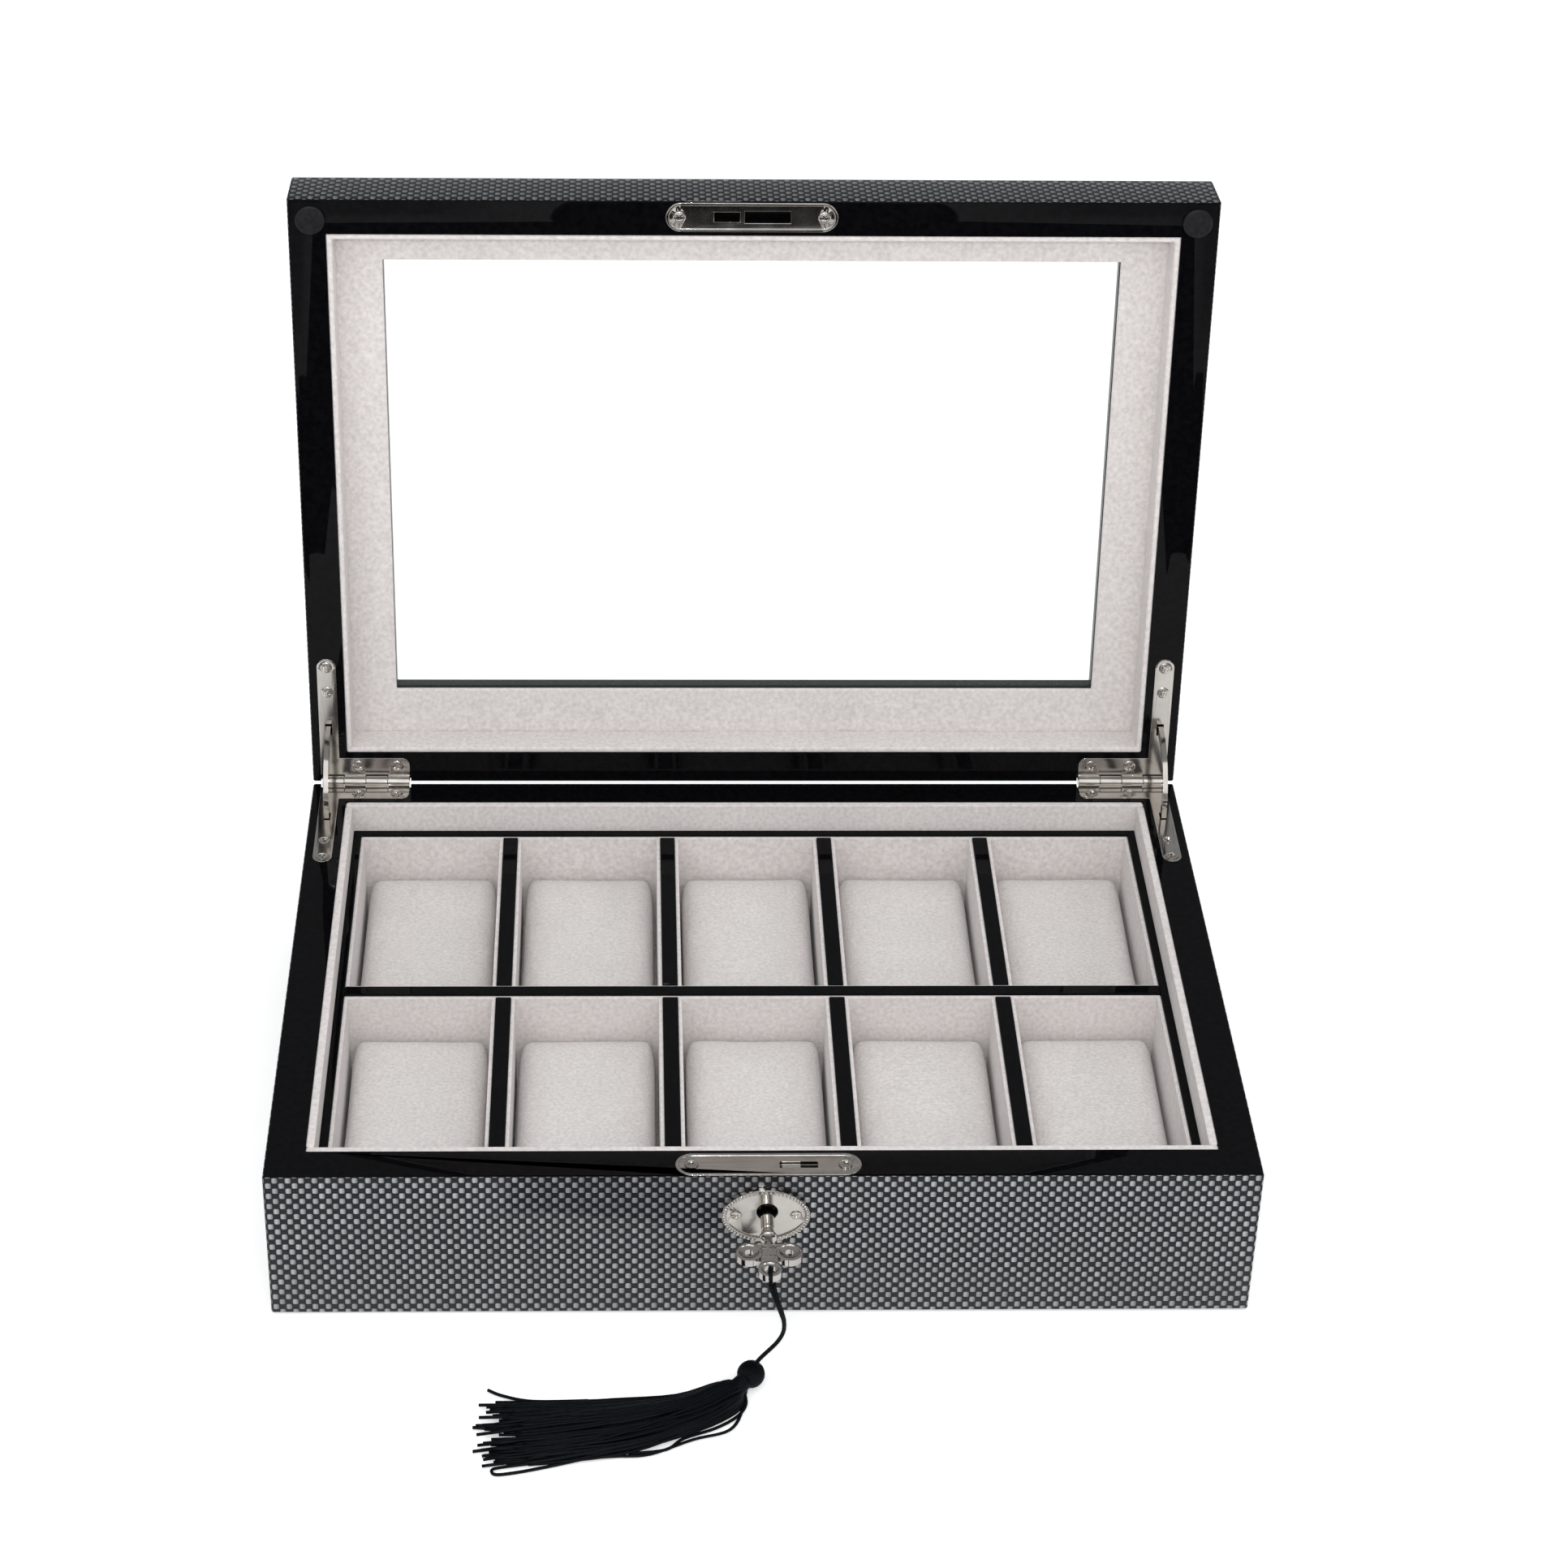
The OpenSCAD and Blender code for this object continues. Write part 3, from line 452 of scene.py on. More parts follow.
def film_and_lacquer(piece, wide, front, back, top=None):
    """Lays the woven film on the outer faces and plain lacquer on the others"""
    piece.data.materials.append(woven_film)
    piece.data.materials.append(piano_lacquer)
    layer = piece.data.uv_layers.new(name="film")
    for face in piece.data.polygons:
        way = [abs(part) for part in face.normal]
        main = way.index(max(way))
        middle = face.center
        outside = (
            (main == 0 and abs(middle.x) > wide - 0.3 * mm)
            or (main == 1 and (middle.y < front + 0.3 * mm or middle.y > back - 0.3 * mm))
            or (main == 2 and top is not None and middle.z > top - 0.3 * mm)
        )
        face.material_index = 0 if outside else 1
        across, up = ((1, 2), (0, 2), (0, 1))[main]
        for corner in face.loop_indices:
            place = piece.data.vertices[piece.data.loops[corner].vertex_index].co
            layer.data[corner].uv = (place[across], place[up])


def calc(material, operation, a, b=0.0, c=0.0):
    return add(material, "Math", {0: a, 1: b, 2: c}, operation=operation)


# The woven film: square cells of 2.19 mm, a light rounded float over every second one, painted
# with a highlight on its left and shade on its right, and dark ribbed thread between, sunk in clear
# gloss
cell = 2.19 * mm
woven_film = new_material("woven_film", {
    "Coat Weight": 0.6, "Coat Roughness": 0.025, "Coat IOR": 1.25, "Specular IOR Level": 0.05
})
film_uv = add(woven_film, "TexCoord", {}, output="UV")
film_split = add(woven_film, "SeparateXYZ", {"Vector": film_uv}).node
cell_u = calc(woven_film, "DIVIDE", film_split.outputs["X"], cell)
cell_v = calc(woven_film, "DIVIDE", film_split.outputs["Y"], cell)
in_u = calc(woven_film, "FRACT", cell_u)
in_v = calc(woven_film, "FRACT", cell_v)
step_u = calc(woven_film, "FLOOR", cell_u)
step_v = calc(woven_film, "FLOOR", cell_v)
is_dark = calc(woven_film, "FLOORED_MODULO", calc(woven_film, "ADD", step_u, step_v), 2.0)
off_u = calc(woven_film, "ABSOLUTE", calc(woven_film, "SUBTRACT", in_u, 0.5))
off_v = calc(woven_film, "ABSOLUTE", calc(woven_film, "SUBTRACT", in_v, 0.5))
round_u = calc(woven_film, "POWER", calc(woven_film, "DIVIDE", off_u, 0.43), 4.0)
round_v = calc(woven_film, "POWER", calc(woven_film, "DIVIDE", off_v, 0.52), 4.0)
away = calc(woven_film, "ADD", round_u, round_v)
float_shape = add(woven_film, "MapRange", {
    "Value": away, "From Min": 0.55, "From Max": 1.35, "To Min": 1.0, "To Max": 0.0
}, interpolation_type="SMOOTHSTEP")
is_light = calc(woven_film, "SUBTRACT", 1.0, is_dark)
float_mask = calc(woven_film, "MULTIPLY", float_shape, is_light)
cell_id = add(woven_film, "CombineXYZ", {"X": step_u, "Y": step_v})
cell_luck = add(woven_film, "TexWhiteNoise", {"Vector": cell_id}, output="Value")
# Each float is painted brighter left of its middle and darker towards its right: a painted highlight and
# painted shade of its rounded top
float_painted_light_and_shade = ramp(
    woven_film, in_u,
    (0.1, (0.29, 0.3, 0.31)), (0.4, (0.38, 0.385, 0.39)), (0.9, (0.14, 0.145, 0.155))
)
ribs = calc(woven_film, "SINE", calc(woven_film, "MULTIPLY", in_v, math.tau * 3))
rib_share = spread(woven_film, calc(woven_film, "MULTIPLY_ADD", ribs, 0.5, 0.5), 0.2, 1.0)
dark_thread = ramp(woven_film, rib_share, (0.2, (0.002, 0.002, 0.003)), (1, (0.018, 0.0185, 0.022)))
light_level = spread(woven_film, cell_luck, 0.82, 1.08)
float_colour_with_painted_shade = add(woven_film, "VectorMath", {0: float_painted_light_and_shade, "Scale": light_level}, operation="SCALE")
mixer = woven_film.node_tree.nodes.new("ShaderNodeMix")
mixer.data_type = "RGBA"
woven_film.node_tree.links.new(float_mask, mixer.inputs[0])
woven_film.node_tree.links.new(dark_thread, mixer.inputs[6])
woven_film.node_tree.links.new(float_colour_with_painted_shade, mixer.inputs[7])
drive(
    woven_film,
    Base_Color=mixer.outputs[2],
    Metallic=spread(woven_film, float_mask, 0.0, 0.95),
    Roughness=spread(woven_film, float_mask, 0.6, 0.36),
    Normal=bump(woven_film, calc(woven_film, "MAXIMUM", float_mask, rib_share), 0.0002, 0.5)
)

# Black piano lacquer, polished flat, with the faint waviness and haze that is left
piano_lacquer = new_material("black_piano_lacquer", {
    "Coat Weight": 0.5, "Coat Roughness": 0.02, "Coat IOR": 1.25, "Specular IOR Level": 0.0
})
waviness = speckle(piano_lacquer, 55, 1.0)
haze = speckle(piano_lacquer, 420, 4.0)
drive(
    piano_lacquer,
    Base_Color=ramp(piano_lacquer, haze, (0.35, (0.0018, 0.0017, 0.0021)), (0.8, (0.004, 0.004, 0.005))),
    Roughness=spread(piano_lacquer, haze, 0.12, 0.3),
    Normal=bump(piano_lacquer, waviness, 0.00004, 0.35)
)

walls = [f"base_{side}_wall" for side in ("front", "back", "left", "right")]
base_case = copied("lacquered_base_case", *walls)
back_t = back_high.y - back_low.y


def on_mitre(face):
    """True where two walls meet inside the case's corner"""
    for index in face.vertices:
        point = base_case.data.vertices[index].co
        deep = back_t if point.y > 0 else wall_t
        edge = (back_y - point.y) if point.y > 0 else (point.y - front_y)
        if abs((half_w - abs(point.x)) / wall_t - edge / deep) > 0.002:
            return False
    return abs(face.normal.x * face.normal.y) > 0.1


choose(base_case, "FACE", on_mitre)
bpy.ops.mesh.delete(type="FACE")
bpy.ops.object.mode_set(mode="OBJECT")
flattened(base_case)
round_corners(base_case, edge_round, foot_z, rim_z, half_w, front_y, back_y, rim_z)
film_and_lacquer(base_case, half_w, front_y, back_y)
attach(base_case, "base")
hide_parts(*walls)

# The floor board is raw fibreboard, rebated into the walls, and black needle felt is
# glued under it, so that the case doesn't scratch what it stands on.
fibreboard = new_material("raw_fibreboard", {"Roughness": 0.85, "Specular IOR Level": 0.15})
board_grain = speckle(fibreboard, 900, 5.0, stretch=(0.4, 1, 1))
drive(
    fibreboard,
    Base_Color=ramp(fibreboard, board_grain, (0.3, (0.11, 0.075, 0.045)), (0.75, (0.23, 0.17, 0.11))),
    Normal=bump(fibreboard, board_grain, 0.0001)
)
felt = new_material("black_needle_felt", {"Roughness": 1.0, "Sheen Weight": 0.5, "Sheen Roughness": 0.6})
felt_hair = speckle(felt, 1500, 6.0, stretch=(1, 0.6, 1))
drive(
    felt,
    Base_Color=ramp(felt, felt_hair, (0.3, (0.008, 0.008, 0.01)), (0.75, (0.035, 0.035, 0.04))),
    Normal=bump(felt, felt_hair, 0.0004)
)


def softened(node, width, material, segments=3, angle=35):
    """Rounds a CAD node's sharp edges with modifiers and gives it a material"""
    piece = nodes[node]
    weld = piece.modifiers.new("weld", "WELD")
    weld.merge_threshold = 0.005 * mm
    bevel = piece.modifiers.new("round_edges", "BEVEL")
    bevel.width = width
    bevel.segments = segments
    bevel.limit_method = "ANGLE"
    bevel.angle_limit = math.radians(angle)
    piece.modifiers.new("even_shading", "WEIGHTED_NORMAL")
    piece.data.shade_smooth()
    piece.data.materials.clear()
    piece.data.materials.append(material)


softened("base_floor_board", 0.2 * mm, fibreboard, 1)
softened("base_felt", 0.25 * mm, felt, 2)

# Lining boards stand inside the walls and on the floor, wrapped in short-nap suede
# cloth of a light greige, which turns softly over their top edges.
suede = new_material("greige_suede", {
    "Roughness": 0.95, "Specular IOR Level": 0.12, "Sheen Weight": 0.25, "Sheen Roughness": 0.6
})
nap = speckle(suede, 620, 5.0)
brushed = speckle(suede, 38, 3.0, stretch=(1, 0.45, 0.6))
nap_colour = ramp(
    suede, nap,
    (0.25, (0.56, 0.52, 0.505)), (0.5, (0.66, 0.62, 0.605)), (0.75, (0.76, 0.72, 0.705))
)
brushed_level = spread(suede, brushed, 0.94, 1.05)
drive(
    suede,
    Base_Color=add(suede, "VectorMath", {0: nap_colour, "Scale": brushed_level}, operation="SCALE"),
    Normal=bump(suede, nap, 0.0005, 0.4)
)
for side in ("front", "back", "left", "right"):
    softened(f"lining_{side}", 0.9 * mm, suede)
softened("floor_lining", 0.2 * mm, suede, 1)

# The tray is a grid of thin black lacquered boards: a frame, a rail between the rows
# and dividers. Suede lines each compartment to just under the boards' top edges.
softened("tray_frame", 0.35 * mm, piano_lacquer)
softened("tray_middle_rail", 0.5 * mm, piano_lacquer)
for row in ("rear", "front"):
    for i in range(1, 5):
        softened(f"divider_{row}_{i}", 0.55 * mm, piano_lacquer)
softened("compartment_linings", 0.35 * mm, suede, 2)

# Ten loose cushions of foam in suede cloth, sewn round the middle of their sides. One
# is blown up as cloth between its walls, and each of the ten is then worn differently.
pillow_low, pillow_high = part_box("watch_cushion_1")
pillow_size = pillow_high - pillow_low
pillow_shrink = Vector((0.9, 0.9, 1)) * mm
swell_cap = 0.6 * mm
seam_depth, seam_width = 0.55 * mm, 1.1 * mm
bpy.ops.object.select_all(action="DESELECT")
bpy.ops.mesh.primitive_cube_add(size=1)
pillow = bpy.context.object
pillow.dimensions = pillow_size - pillow_shrink
bpy.ops.object.transform_apply(location=True, rotation=True, scale=True)
choose(pillow, "EDGE", lambda edge: abs(
    pillow.data.vertices[edge.vertices[0]].co.z - pillow.data.vertices[edge.vertices[1]].co.z
) > mm)
bpy.ops.mesh.bevel(offset=3.2 * mm, segments=4, affect="EDGES")
bpy.ops.object.mode_set(mode="OBJECT")
choose(pillow, "FACE", lambda face: abs(face.normal.z) > 0.9)
bpy.ops.mesh.bevel(offset=2.2 * mm, segments=3, affect="EDGES")
bpy.ops.object.mode_set(mode="OBJECT")
remesh = pillow.modifiers.new("even_mesh", "REMESH")
remesh.mode = "VOXEL"
remesh.voxel_size = 2.4 * mm
bpy.ops.object.modifier_apply(modifier=remesh.name)
flat = [v.co.copy() for v in pillow.data.vertices]
cloth = pillow.modifiers.new("blown_cloth", "CLOTH")
cloth.settings.use_pressure = True
cloth.settings.uniform_pressure_force = 4
cloth.settings.effector_weights.gravity = 0
for moment in range(1, 21):
    scene.frame_set(moment)
settled = pillow.evaluated_get(bpy.context.evaluated_depsgraph_get())
blown = [v.co.copy() for v in settled.data.vertices]
pillow.modifiers.remove(cloth)
scene.frame_set(1)
for v, start, end in zip(pillow.data.vertices, flat, blown):
    move = end - start
    v.co = start + move * min(1, swell_cap / max(move.length, 1e-9))
finer = pillow.modifiers.new("finer", "SUBSURF")
finer.levels = finer.render_levels = 1
bpy.ops.object.modifier_apply(modifier=finer.name)
for v in pillow.data.vertices:
    beside = max(abs(v.co.x) / (pillow_size.x / 2), abs(v.co.y) / (pillow_size.y / 2))
    if beside > 0.85:
        inward = Vector((v.co.x, v.co.y, 0)).normalized()
        v.co -= inward * seam_depth * math.exp(-(v.co.z / seam_width) ** 2)

cushion_suede = new_material("cushion_suede", {
    "Roughness": 0.95, "Specular IOR Level": 0.12, "Sheen Weight": 0.25, "Sheen Roughness": 0.6
})
pebble = speckle(cushion_suede, 760, 5.0, stretch=(1, 1.5, 1))
patches = speckle(cushion_suede, 45, 3.0)
pebble_colour = ramp(
    cushion_suede, pebble,
    (0.25, (0.56, 0.525, 0.51)), (0.5, (0.67, 0.635, 0.62)), (0.75, (0.78, 0.745, 0.73))
)
patch_level = spread(cushion_suede, patches, 0.92, 1.06)
drive(
    cushion_suede,
    Base_Color=add(
        cushion_suede, "VectorMath", {0: pebble_colour, "Scale": patch_level}, operation="SCALE"
    ),
    Normal=bump(cushion_suede, pebble, 0.0008, 0.7)
)
for i in range(1, 11):
    low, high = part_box(f"watch_cushion_{i}")
    cushion = bpy.data.objects.new(f"suede_cushion_{i}", pillow.data.copy())
    scene.collection.objects.link(cushion)
    middle = (low + high) / 2
    for v in cushion.data.vertices:
        wear = noise.noise(v.co * 55 + Vector((7 * i, 0, 0)))
        give = 0.4 * mm if v.co.z > 0 else 0
        v.co += Vector((0, 0, give * wear))
    askew = Matrix.Rotation(0.004 * math.sin(5 * i), 4, "Z")
    cushion.data.transform(Matrix.Translation(middle) @ askew)
    cushion.data.shade_smooth()
    cushion.data.materials.append(cushion_suede)
    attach(cushion, f"cushion_{i}")
    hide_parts(f"watch_cushion_{i}")
bpy.data.objects.remove(pillow)

# The lock is let into the front wall. Its edge plate, with a raised bead round it, is
# bright nickel, and its case and bolt are plain plated steel.
nickel = new_material("bright_nickel", {"Metallic": 1.0})
smudges = speckle(nickel, 130, 4.0)
scratches = speckle(nickel, 1800, 2.0, stretch=(0.06, 1, 1))
drive(
    nickel,
    Base_Color=ramp(nickel, smudges, (0.3, (0.4, 0.375, 0.35)), (0.7, (0.49, 0.465, 0.435))),
    Roughness=spread(nickel, smudges, 0.07, 0.16),
    Normal=bump(nickel, scratches, 0.000004, 0.2)
)
lock_steel = new_material("plated_steel", {"Metallic": 1.0})
drawn = speckle(lock_steel, 1500, 3.0, stretch=(0.05, 1, 1))
drive(
    lock_steel,
    Base_Color=ramp(lock_steel, drawn, (0.3, (0.46, 0.45, 0.42)), (0.7, (0.62, 0.61, 0.58))),
    Roughness=spread(lock_steel, drawn, 0.25, 0.45),
    Normal=bump(lock_steel, drawn, 0.00003, 0.4)
)
softened("lock_edge_plate", 0.18 * mm, nickel, 2)
softened("lock_case", 0.1 * mm, lock_steel, 1)
softened("lock_bolt", 0.3 * mm, lock_steel, 2)

# One pan-head screw with a ringed rim and a cross recess is turned and milled here,
# and every nickel screw on the box is a copy of it.
head_r = 2.2 * mm
bpy.ops.object.select_all(action="DESELECT")
bpy.ops.mesh.primitive_cylinder_add(vertices=28, radius=head_r, depth=1.2 * mm)
screw = bpy.context.object
choose(screw, "FACE", lambda face: face.normal.z > 0.9)
bpy.ops.mesh.inset(thickness=0.35 * mm, depth=0.22 * mm)
bpy.ops.mesh.inset(thickness=0.3 * mm, depth=0)
bpy.ops.mesh.inset(thickness=0.15 * mm, depth=-0.16 * mm)
bpy.ops.mesh.inset(thickness=0.5 * mm, depth=0.14 * mm)
bpy.ops.object.mode_set(mode="OBJECT")
for reach in ((2.3 * mm, 0.5 * mm), (0.5 * mm, 2.3 * mm)):
    bpy.ops.object.select_all(action="DESELECT")
    bpy.ops.mesh.primitive_cube_add(size=1, location=(0, 0, 0.95 * mm))
    mill = bpy.context.object
    mill.dimensions = (*reach, 1.2 * mm)
    bpy.ops.object.transform_apply(location=True, rotation=True, scale=True)
    slotted = screw.modifiers.new("cross", "BOOLEAN")
    slotted.operation = "DIFFERENCE"
    slotted.object = mill
    bpy.context.view_layer.objects.active = screw
    bpy.ops.object.modifier_apply(modifier=slotted.name)
    bpy.data.objects.remove(mill)
bpy.ops.object.select_all(action="DESELECT")
bpy.ops.mesh.primitive_cylinder_add(
    vertices=12, radius=1.1 * mm, depth=7 * mm, location=(0, 0, -4 * mm)
)
screw = joined("screw_pattern", [screw, bpy.context.object])
bpy.ops.object.shade_smooth_by_angle(angle=math.radians(35))


def fastened(name, node, body, places, size=1.0):
    """Copies of the screw, whose heads' top rims are at the places, for a CAD node"""
    made = []
    for number, (place, spin) in enumerate(places):
        copy = bpy.data.objects.new(name, screw.data.copy())
        scene.collection.objects.link(copy)
        sunk = Matrix.Translation((0, 0, -0.82 * mm * size))
        copy.data.transform(place @ sunk @ Matrix.Scale(size, 4) @ Matrix.Rotation(spin, 4, "Z"))
        made.append(copy)
    piece = joined(name, made)
    piece.data.materials.clear()
    piece.data.materials.append(nickel)
    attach(piece, body)
    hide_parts(node)


low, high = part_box("lock_plate_screws")
between = (low.y + high.y) / 2
fastened("edge_plate_screws", "lock_plate_screws", "base", [
    (Matrix.Translation((low.x + head_r, between, high.z)), 0.3),
    (Matrix.Translation((high.x - head_r, between, high.z)), 1.0)
])

# The escutcheon is a stamped oval of nickel with a rim of small beads. Two short
# screws hold it over the keyhole.
softened("escutcheon", 0.25 * mm, nickel, 2)
low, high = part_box("escutcheon")
oval_middle = (low + high) / 2
oval_w, oval_h = high.x - low.x, high.z - low.z
bead_count = 60
bead_inset = 0.85 * mm
bead_radius = 0.58 * mm
bpy.ops.object.select_all(action="DESELECT")
bpy.ops.mesh.primitive_uv_sphere_add(segments=10, ring_count=6, radius=bead_radius)
bead = bpy.context.object
beads = []
for k in range(bead_count):
    angle = math.tau * k / bead_count
    wide = oval_w / 2 - bead_inset
    tall = oval_h / 2 - bead_inset
    spot = Vector((
        oval_middle.x + wide * math.cos(angle), low.y, oval_middle.z + tall * math.sin(angle)
    ))
    copy = bpy.data.objects.new("bead", bead.data.copy())
    scene.collection.objects.link(copy)
    outward = Matrix.Rotation(-math.atan2(math.sin(angle) / tall, math.cos(angle) / wide), 4, "Y")
    copy.data.transform(Matrix.Translation(spot) @ outward @ Matrix.Diagonal((1.35, 1, 0.85, 1)))
    beads.append(copy)
bpy.data.objects.remove(bead)
bead_rim = joined("escutcheon_beads", beads)
bead_rim.data.shade_smooth()
bead_rim.data.materials.append(nickel)
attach(bead_rim, "base")
screw_low, screw_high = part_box("escutcheon_screws")
small = 0.78
facing = Matrix.Rotation(math.radians(90), 4, "X")
fastened("escutcheon_pins", "escutcheon_screws", "base", [
    (Matrix.Translation((
        x, screw_low.y, (screw_low.z + screw_high.z) / 2
    )) @ facing, 0.5) for x in (screw_low.x + small * head_r, screw_high.x - small * head_r)
], small)

# The key is cast and polished: a round stem with a collar, a small bit, and a flat bow
# with two side eyelets and an end ring, each with a raised rim.
key_x, key_z = 1 * mm, 44.2 * mm
stem_r = 2.2 * mm
stem_tip, stem_end = -108.5 * mm, -128.5 * mm
bow_y = -133.5 * mm
lobe_r, lobe_x = 4.4 * mm, 6.6 * mm
ring_r, ring_y = 3.9 * mm, -146.1 * mm
eyelet_hole, ring_hole = 1.5 * mm, 1.9 * mm
bow_t = 2.5 * mm


def turned(name, stations, around=28):
    """A round bar along Y on the key's axis through stations of place and radius"""
    bpy.ops.object.select_all(action="DESELECT")
    first_y, first_r = stations[0]
    bpy.ops.mesh.primitive_circle_add(
        vertices=around, radius=first_r, fill_type="NGON", location=(key_x, first_y, key_z),
        rotation=(math.radians(90), 0, 0)
    )
    piece = bpy.context.object
    bpy.ops.object.transform_apply(location=True, rotation=True, scale=True)
    bpy.ops.object.mode_set(mode="EDIT")
    bpy.ops.mesh.select_all(action="SELECT")
    last_y, last_r = first_y, first_r
    for y, r in stations[1:]:
        bpy.ops.mesh.extrude_region_move(TRANSFORM_OT_translate={"value": (0, y - last_y, 0)})
        bpy.ops.transform.resize(
            value=(r / last_r, 1, r / last_r), center_override=(key_x, y, key_z)
        )
        last_y, last_r = y, r
    bpy.ops.mesh.select_all(action="SELECT")
    bpy.ops.mesh.normals_make_consistent(inside=False)
    bpy.ops.object.mode_set(mode="OBJECT")
    piece.name = name
    bpy.ops.object.shade_smooth_by_angle(angle=math.radians(40))
    return piece


def bow_disc(x, y, radius, hole):
    """One eyelet of the bow: a flat disc with a hole and a raised rim on both faces"""
    bpy.ops.object.select_all(action="DESELECT")
    bpy.ops.mesh.primitive_cylinder_add(
        vertices=40, radius=radius, depth=bow_t, location=(x, y, key_z)
    )
    disc = bpy.context.object
    bpy.ops.object.transform_apply(location=True, rotation=True, scale=True)
    choose(disc, "FACE", lambda face: abs(face.normal.z) > 0.9)
    bpy.ops.mesh.inset(thickness=0.3 * mm, depth=0.2 * mm, use_individual=True)
    bpy.ops.mesh.inset(thickness=0.7 * mm, depth=0, use_individual=True)
    bpy.ops.mesh.inset(thickness=0.35 * mm, depth=-0.4 * mm, use_individual=True)
    inner = radius - 1.35 * mm
    if inner > hole:
        bpy.ops.mesh.inset(thickness=inner - hole, depth=-0.15 * mm, use_individual=True)
    bpy.ops.mesh.bridge_edge_loops()
    bpy.ops.object.mode_set(mode="OBJECT")
    bpy.ops.object.shade_smooth_by_angle(angle=math.radians(45))
    return disc


stem = turned("stem", [
    (stem_tip, stem_r * 0.8), (stem_tip - 0.4 * mm, stem_r), (stem_end + 2.6 * mm, stem_r),
    (stem_end + 2.4 * mm, stem_r * 0.9), (stem_end + 2.0 * mm, stem_r * 0.9),
    (stem_end + 1.8 * mm, stem_r), (stem_end + 0.2 * mm, stem_r), (stem_end, 2.6 * mm),
    (stem_end - 0.4 * mm, 2.9 * mm), (stem_end - 1.2 * mm, 2.9 * mm),
    (stem_end - 1.6 * mm, 2.6 * mm), (stem_end - 1.9 * mm, 1.5 * mm),
    (stem_end - 3.2 * mm, 1.35 * mm), (bow_y + 0.4 * mm, 1.7 * mm),
    (bow_y - 1.6 * mm, 1.3 * mm), (bow_y - 3.6 * mm, 0.5 * mm)
])


def key_block(low, high, round_by):
    """A block of the key with rounded edges"""
    bpy.ops.object.select_all(action="DESELECT")
    bpy.ops.mesh.primitive_cube_add(size=1, location=(low + high) / 2)
    block = bpy.context.object
    block.dimensions = high - low
    bpy.ops.object.transform_apply(location=True, rotation=True, scale=True)
    choose(block, "EDGE", lambda edge: True)
    bpy.ops.mesh.bevel(offset=round_by, segments=2, affect="EDGES")
    bpy.ops.object.mode_set(mode="OBJECT")
    bpy.ops.object.shade_smooth_by_angle(angle=math.radians(45))
    return block


bit = key_block(
    Vector((key_x - 5.6 * mm, stem_tip - 3.4 * mm, key_z - 0.8 * mm)),
    Vector((key_x - 1 * mm, stem_tip - 0.4 * mm, key_z + 0.8 * mm)), 0.2 * mm
)
# The bow's middle: a thin bridge behind the eyelets' holes, a web, and the ring's tail
bridge = key_block(
    Vector((key_x - lobe_x, bow_y - 2.7 * mm, key_z - bow_t * 0.34)),
    Vector((key_x + lobe_x, bow_y - 0.05 * mm, key_z + bow_t * 0.34)), 0.2 * mm
)
web = key_block(
    Vector((key_x - 3.3 * mm, bow_y - lobe_r - 1.4 * mm, key_z - bow_t * 0.46)),
    Vector((key_x + 3.3 * mm, bow_y - 0.2 * mm, key_z + bow_t * 0.46)), 0.4 * mm
)
tail = key_block(
    Vector((key_x - 2.9 * mm, ring_y + 2.7 * mm, key_z - bow_t * 0.42)),
    Vector((key_x + 2.9 * mm, bow_y - lobe_r, key_z + bow_t * 0.42)), 0.3 * mm
)
lobe_y = bow_y - lobe_r
discs = [
    bow_disc(key_x - lobe_x, lobe_y, lobe_r, eyelet_hole),
    bow_disc(key_x + lobe_x, lobe_y, lobe_r, eyelet_hole),
    bow_disc(key_x, ring_y, ring_r, ring_hole)
]
key = joined("nickel_key", [stem, bit, bridge, web, tail] + discs)
key.data.materials.append(nickel)
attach(key, "key")
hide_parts("key")

# The cord is looped through the key's end ring and turns with it
loop_r, loop_steps = 2.7 * mm, 40
loop_path = []
for step in range(loop_steps + 1):
    angle = math.tau * step / loop_steps
    loop_path.append(Vector((
        key_x, ring_y - loop_r + loop_r * math.cos(angle), key_z + loop_r * math.sin(angle)
    )))
loop = threads("key_cord_loop", [loop_path], cord_diameter / 2, 12, lobes=3)
loop.data.materials.append(thread)
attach(loop, "key")

# Two corner stay hinges of nickel. Each has an L-shaped leaf in the base and one in
# the lid, a row of knuckles on a pin, and a curved stay that slides down a slot.
hinge_x = half_w - 6.8 * mm
pin_z = 60.7 * mm
lid_swing = math.radians(-95)
lid_gap = 1.6 * mm
for side in ("left", "right"):
    softened(f"{side}_hinge_base_leaf", 0.2 * mm, nickel, 2)
    softened(f"{side}_hinge_lid_leaf", 0.2 * mm, nickel, 2)
    softened(f"{side}_hinge_pin", 0.15 * mm, nickel, 2)
    softened(f"{side}_hinge_stay", 0.25 * mm, nickel, 2)
opened = (
    Matrix.Translation((0, back_y, pin_z)) @ Matrix.Rotation(lid_swing, 4, "X")
    @ Matrix.Translation((0, -back_y, -pin_z))
)
lid_rim_z = rim_z + lid_gap
screw_proud = 0.35 * mm
# Each screw's distance inwards from the side arm and forwards from the back, in millimetres
leaf_screws = [(0, 38), (0, 48.4), (10.7, 6.4), (25.4, 6.4)]
under = Matrix.Rotation(math.radians(180), 4, "X")
base_places, lid_places = [], []
for side in (-1, 1):
    for number, (inward, forward) in enumerate(leaf_screws):
        x = side * (hinge_x - inward * mm)
        y = back_y - forward * mm
        spin = 0.4 + 0.9 * number + side
        base_places.append((Matrix.Translation((x, y, rim_z + screw_proud)), spin))
        lid_spot = Matrix.Translation((x, y, lid_rim_z - screw_proud))
        lid_places.append((opened @ lid_spot @ under, spin))
fastened("base_leaf_screws", "hinge_base_screws", "base", base_places)
fastened("lid_leaf_screws", "hinge_lid_screws", "lid", lid_places)

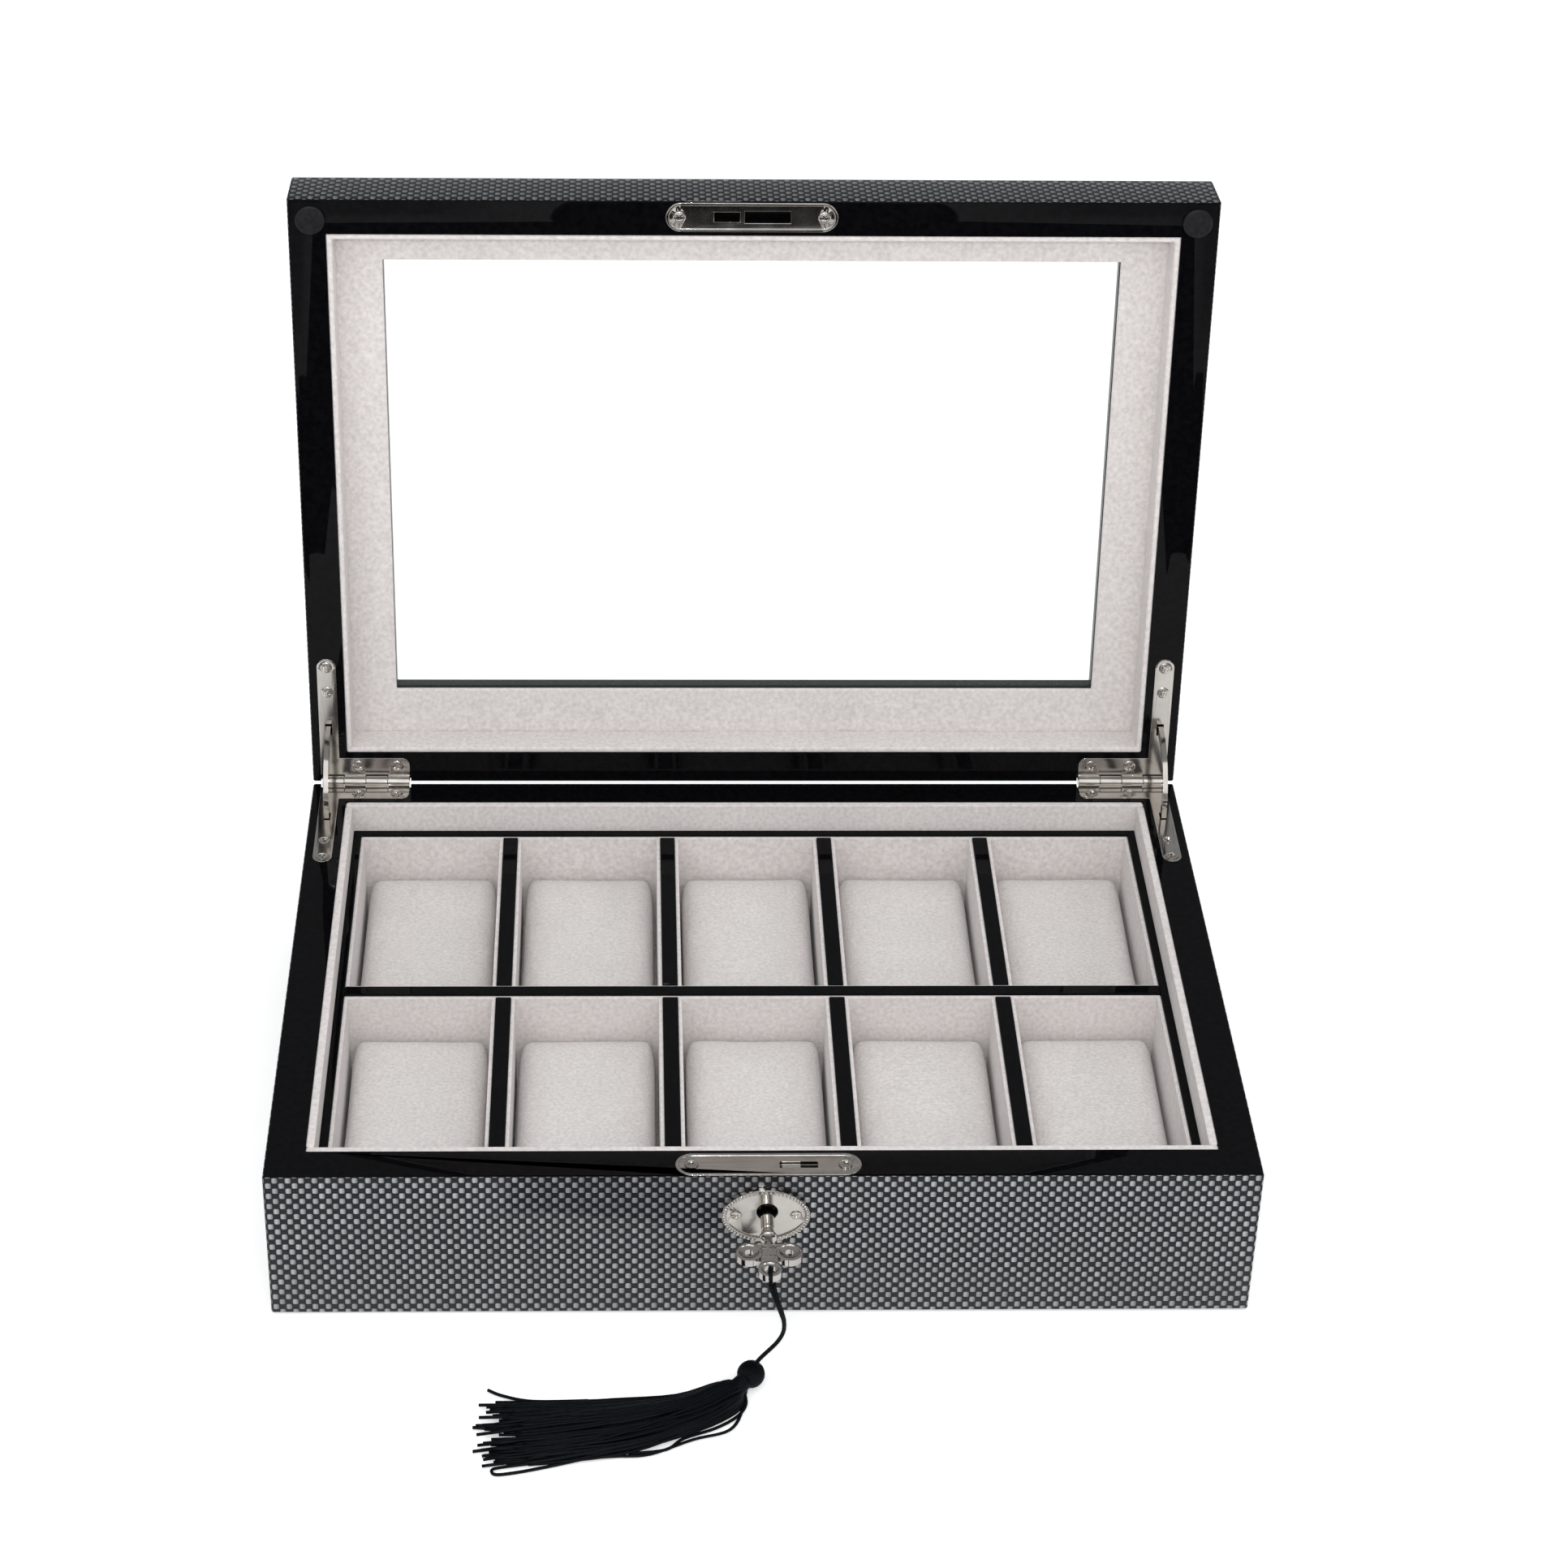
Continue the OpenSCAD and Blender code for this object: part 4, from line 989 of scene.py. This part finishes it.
# The lid is a glazed frame of the same board and film, hollow underneath. It is made
# shut and swung open on the hinge pins with everything that it carries.
shell = copied("lacquered_lid", "lid_walls")
top = copied("lid_top_copy", "lid_top_frame")
shut = opened.inverted()
for piece in (shell, top):
    piece.data.transform(shut)
fuse = shell.modifiers.new("one_shell", "BOOLEAN")
fuse.operation = "UNION"
fuse.object = top
bpy.ops.object.select_all(action="DESELECT")
bpy.context.view_layer.objects.active = shell
bpy.ops.object.modifier_apply(modifier=fuse.name)
bpy.data.objects.remove(top)
lid_top_z = max(v.co.z for v in shell.data.vertices)
flattened(shell)
round_corners(shell, edge_round, lid_rim_z, lid_top_z, half_w, front_y, back_y, lid_rim_z)
film_and_lacquer(shell, half_w, front_y, back_y, lid_top_z)
shell.data.transform(opened)
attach(shell, "lid")
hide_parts("lid_walls", "lid_top_frame")

# The lid's window is clear float glass, held from inside by a suede-covered panel.
# Narrow suede boards line the lid's walls round it.
glass = new_material("clear_glass", {
    "IOR": 2.2, "Alpha": 0.035, "Coat Weight": 0.0, "Metallic": 0.0
})
breath = speckle(glass, 25, 2.0)
drive(
    glass,
    Base_Color=ramp(glass, breath, (0.3, (0.8, 0.88, 0.86)), (0.8, (0.86, 0.92, 0.91))),
    Roughness=spread(glass, breath, 0.01, 0.035)
)
softened("lid_glass", 0.3 * mm, glass, 1)
softened("lid_lining_boards", 0.8 * mm, suede)
softened("lid_window_panel", 0.5 * mm, suede)

# The strike plate faces the lock from the lid's rim, and two smoked soft pads in the
# corners keep the rims apart when the lid is shut.
softened("strike_plate", 0.18 * mm, nickel, 2)
strike_spot = Vector((-1.1 * mm, front_y + 6.4 * mm, lid_rim_z - 0.65 * mm))
strike_reach = Vector((25.7 * mm, 0, 0))
fastened("strike_screws", "strike_plate_screws", "lid", [
    (opened @ Matrix.Translation(strike_spot + side * strike_reach) @ under, 0.7 * side)
    for side in (-1, 1)
])
rubber = new_material("smoked_pad", {
    "Specular IOR Level": 0.15, "Coat Weight": 0.1, "Coat Roughness": 0.3
})
pad_dust = speckle(rubber, 700, 4.0)
drive(
    rubber,
    Base_Color=ramp(rubber, pad_dust, (0.35, (0.005, 0.005, 0.006)), (0.8, (0.014, 0.014, 0.016))),
    Roughness=spread(rubber, pad_dust, 0.35, 0.55),
    Normal=bump(rubber, pad_dust, 0.00005, 0.3)
)
pad_r, pad_h = 5.3 * mm, 1.4 * mm
pads = []
for side in (-1, 1):
    bpy.ops.object.select_all(action="DESELECT")
    spot = Vector((side * (half_w - 8 * mm), front_y + 7.8 * mm, lid_rim_z - pad_h / 2))
    bpy.ops.mesh.primitive_cylinder_add(vertices=40, radius=pad_r, depth=pad_h, location=spot)
    pad = bpy.context.object
    bpy.ops.object.transform_apply(location=True, rotation=True, scale=True)
    choose(pad, "FACE", lambda face: face.normal.z < -0.9)
    bpy.ops.mesh.bevel(offset=0.6 * mm, segments=4, affect="EDGES")
    bpy.ops.object.mode_set(mode="OBJECT")
    pads.append(pad)
pads = joined("smoked_bumper_pads", pads)
bpy.ops.object.shade_smooth_by_angle(angle=math.radians(40))
pads.data.transform(opened)
pads.data.materials.append(rubber)
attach(pads, "lid")
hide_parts("bumper_pads")

bpy.data.objects.remove(screw)
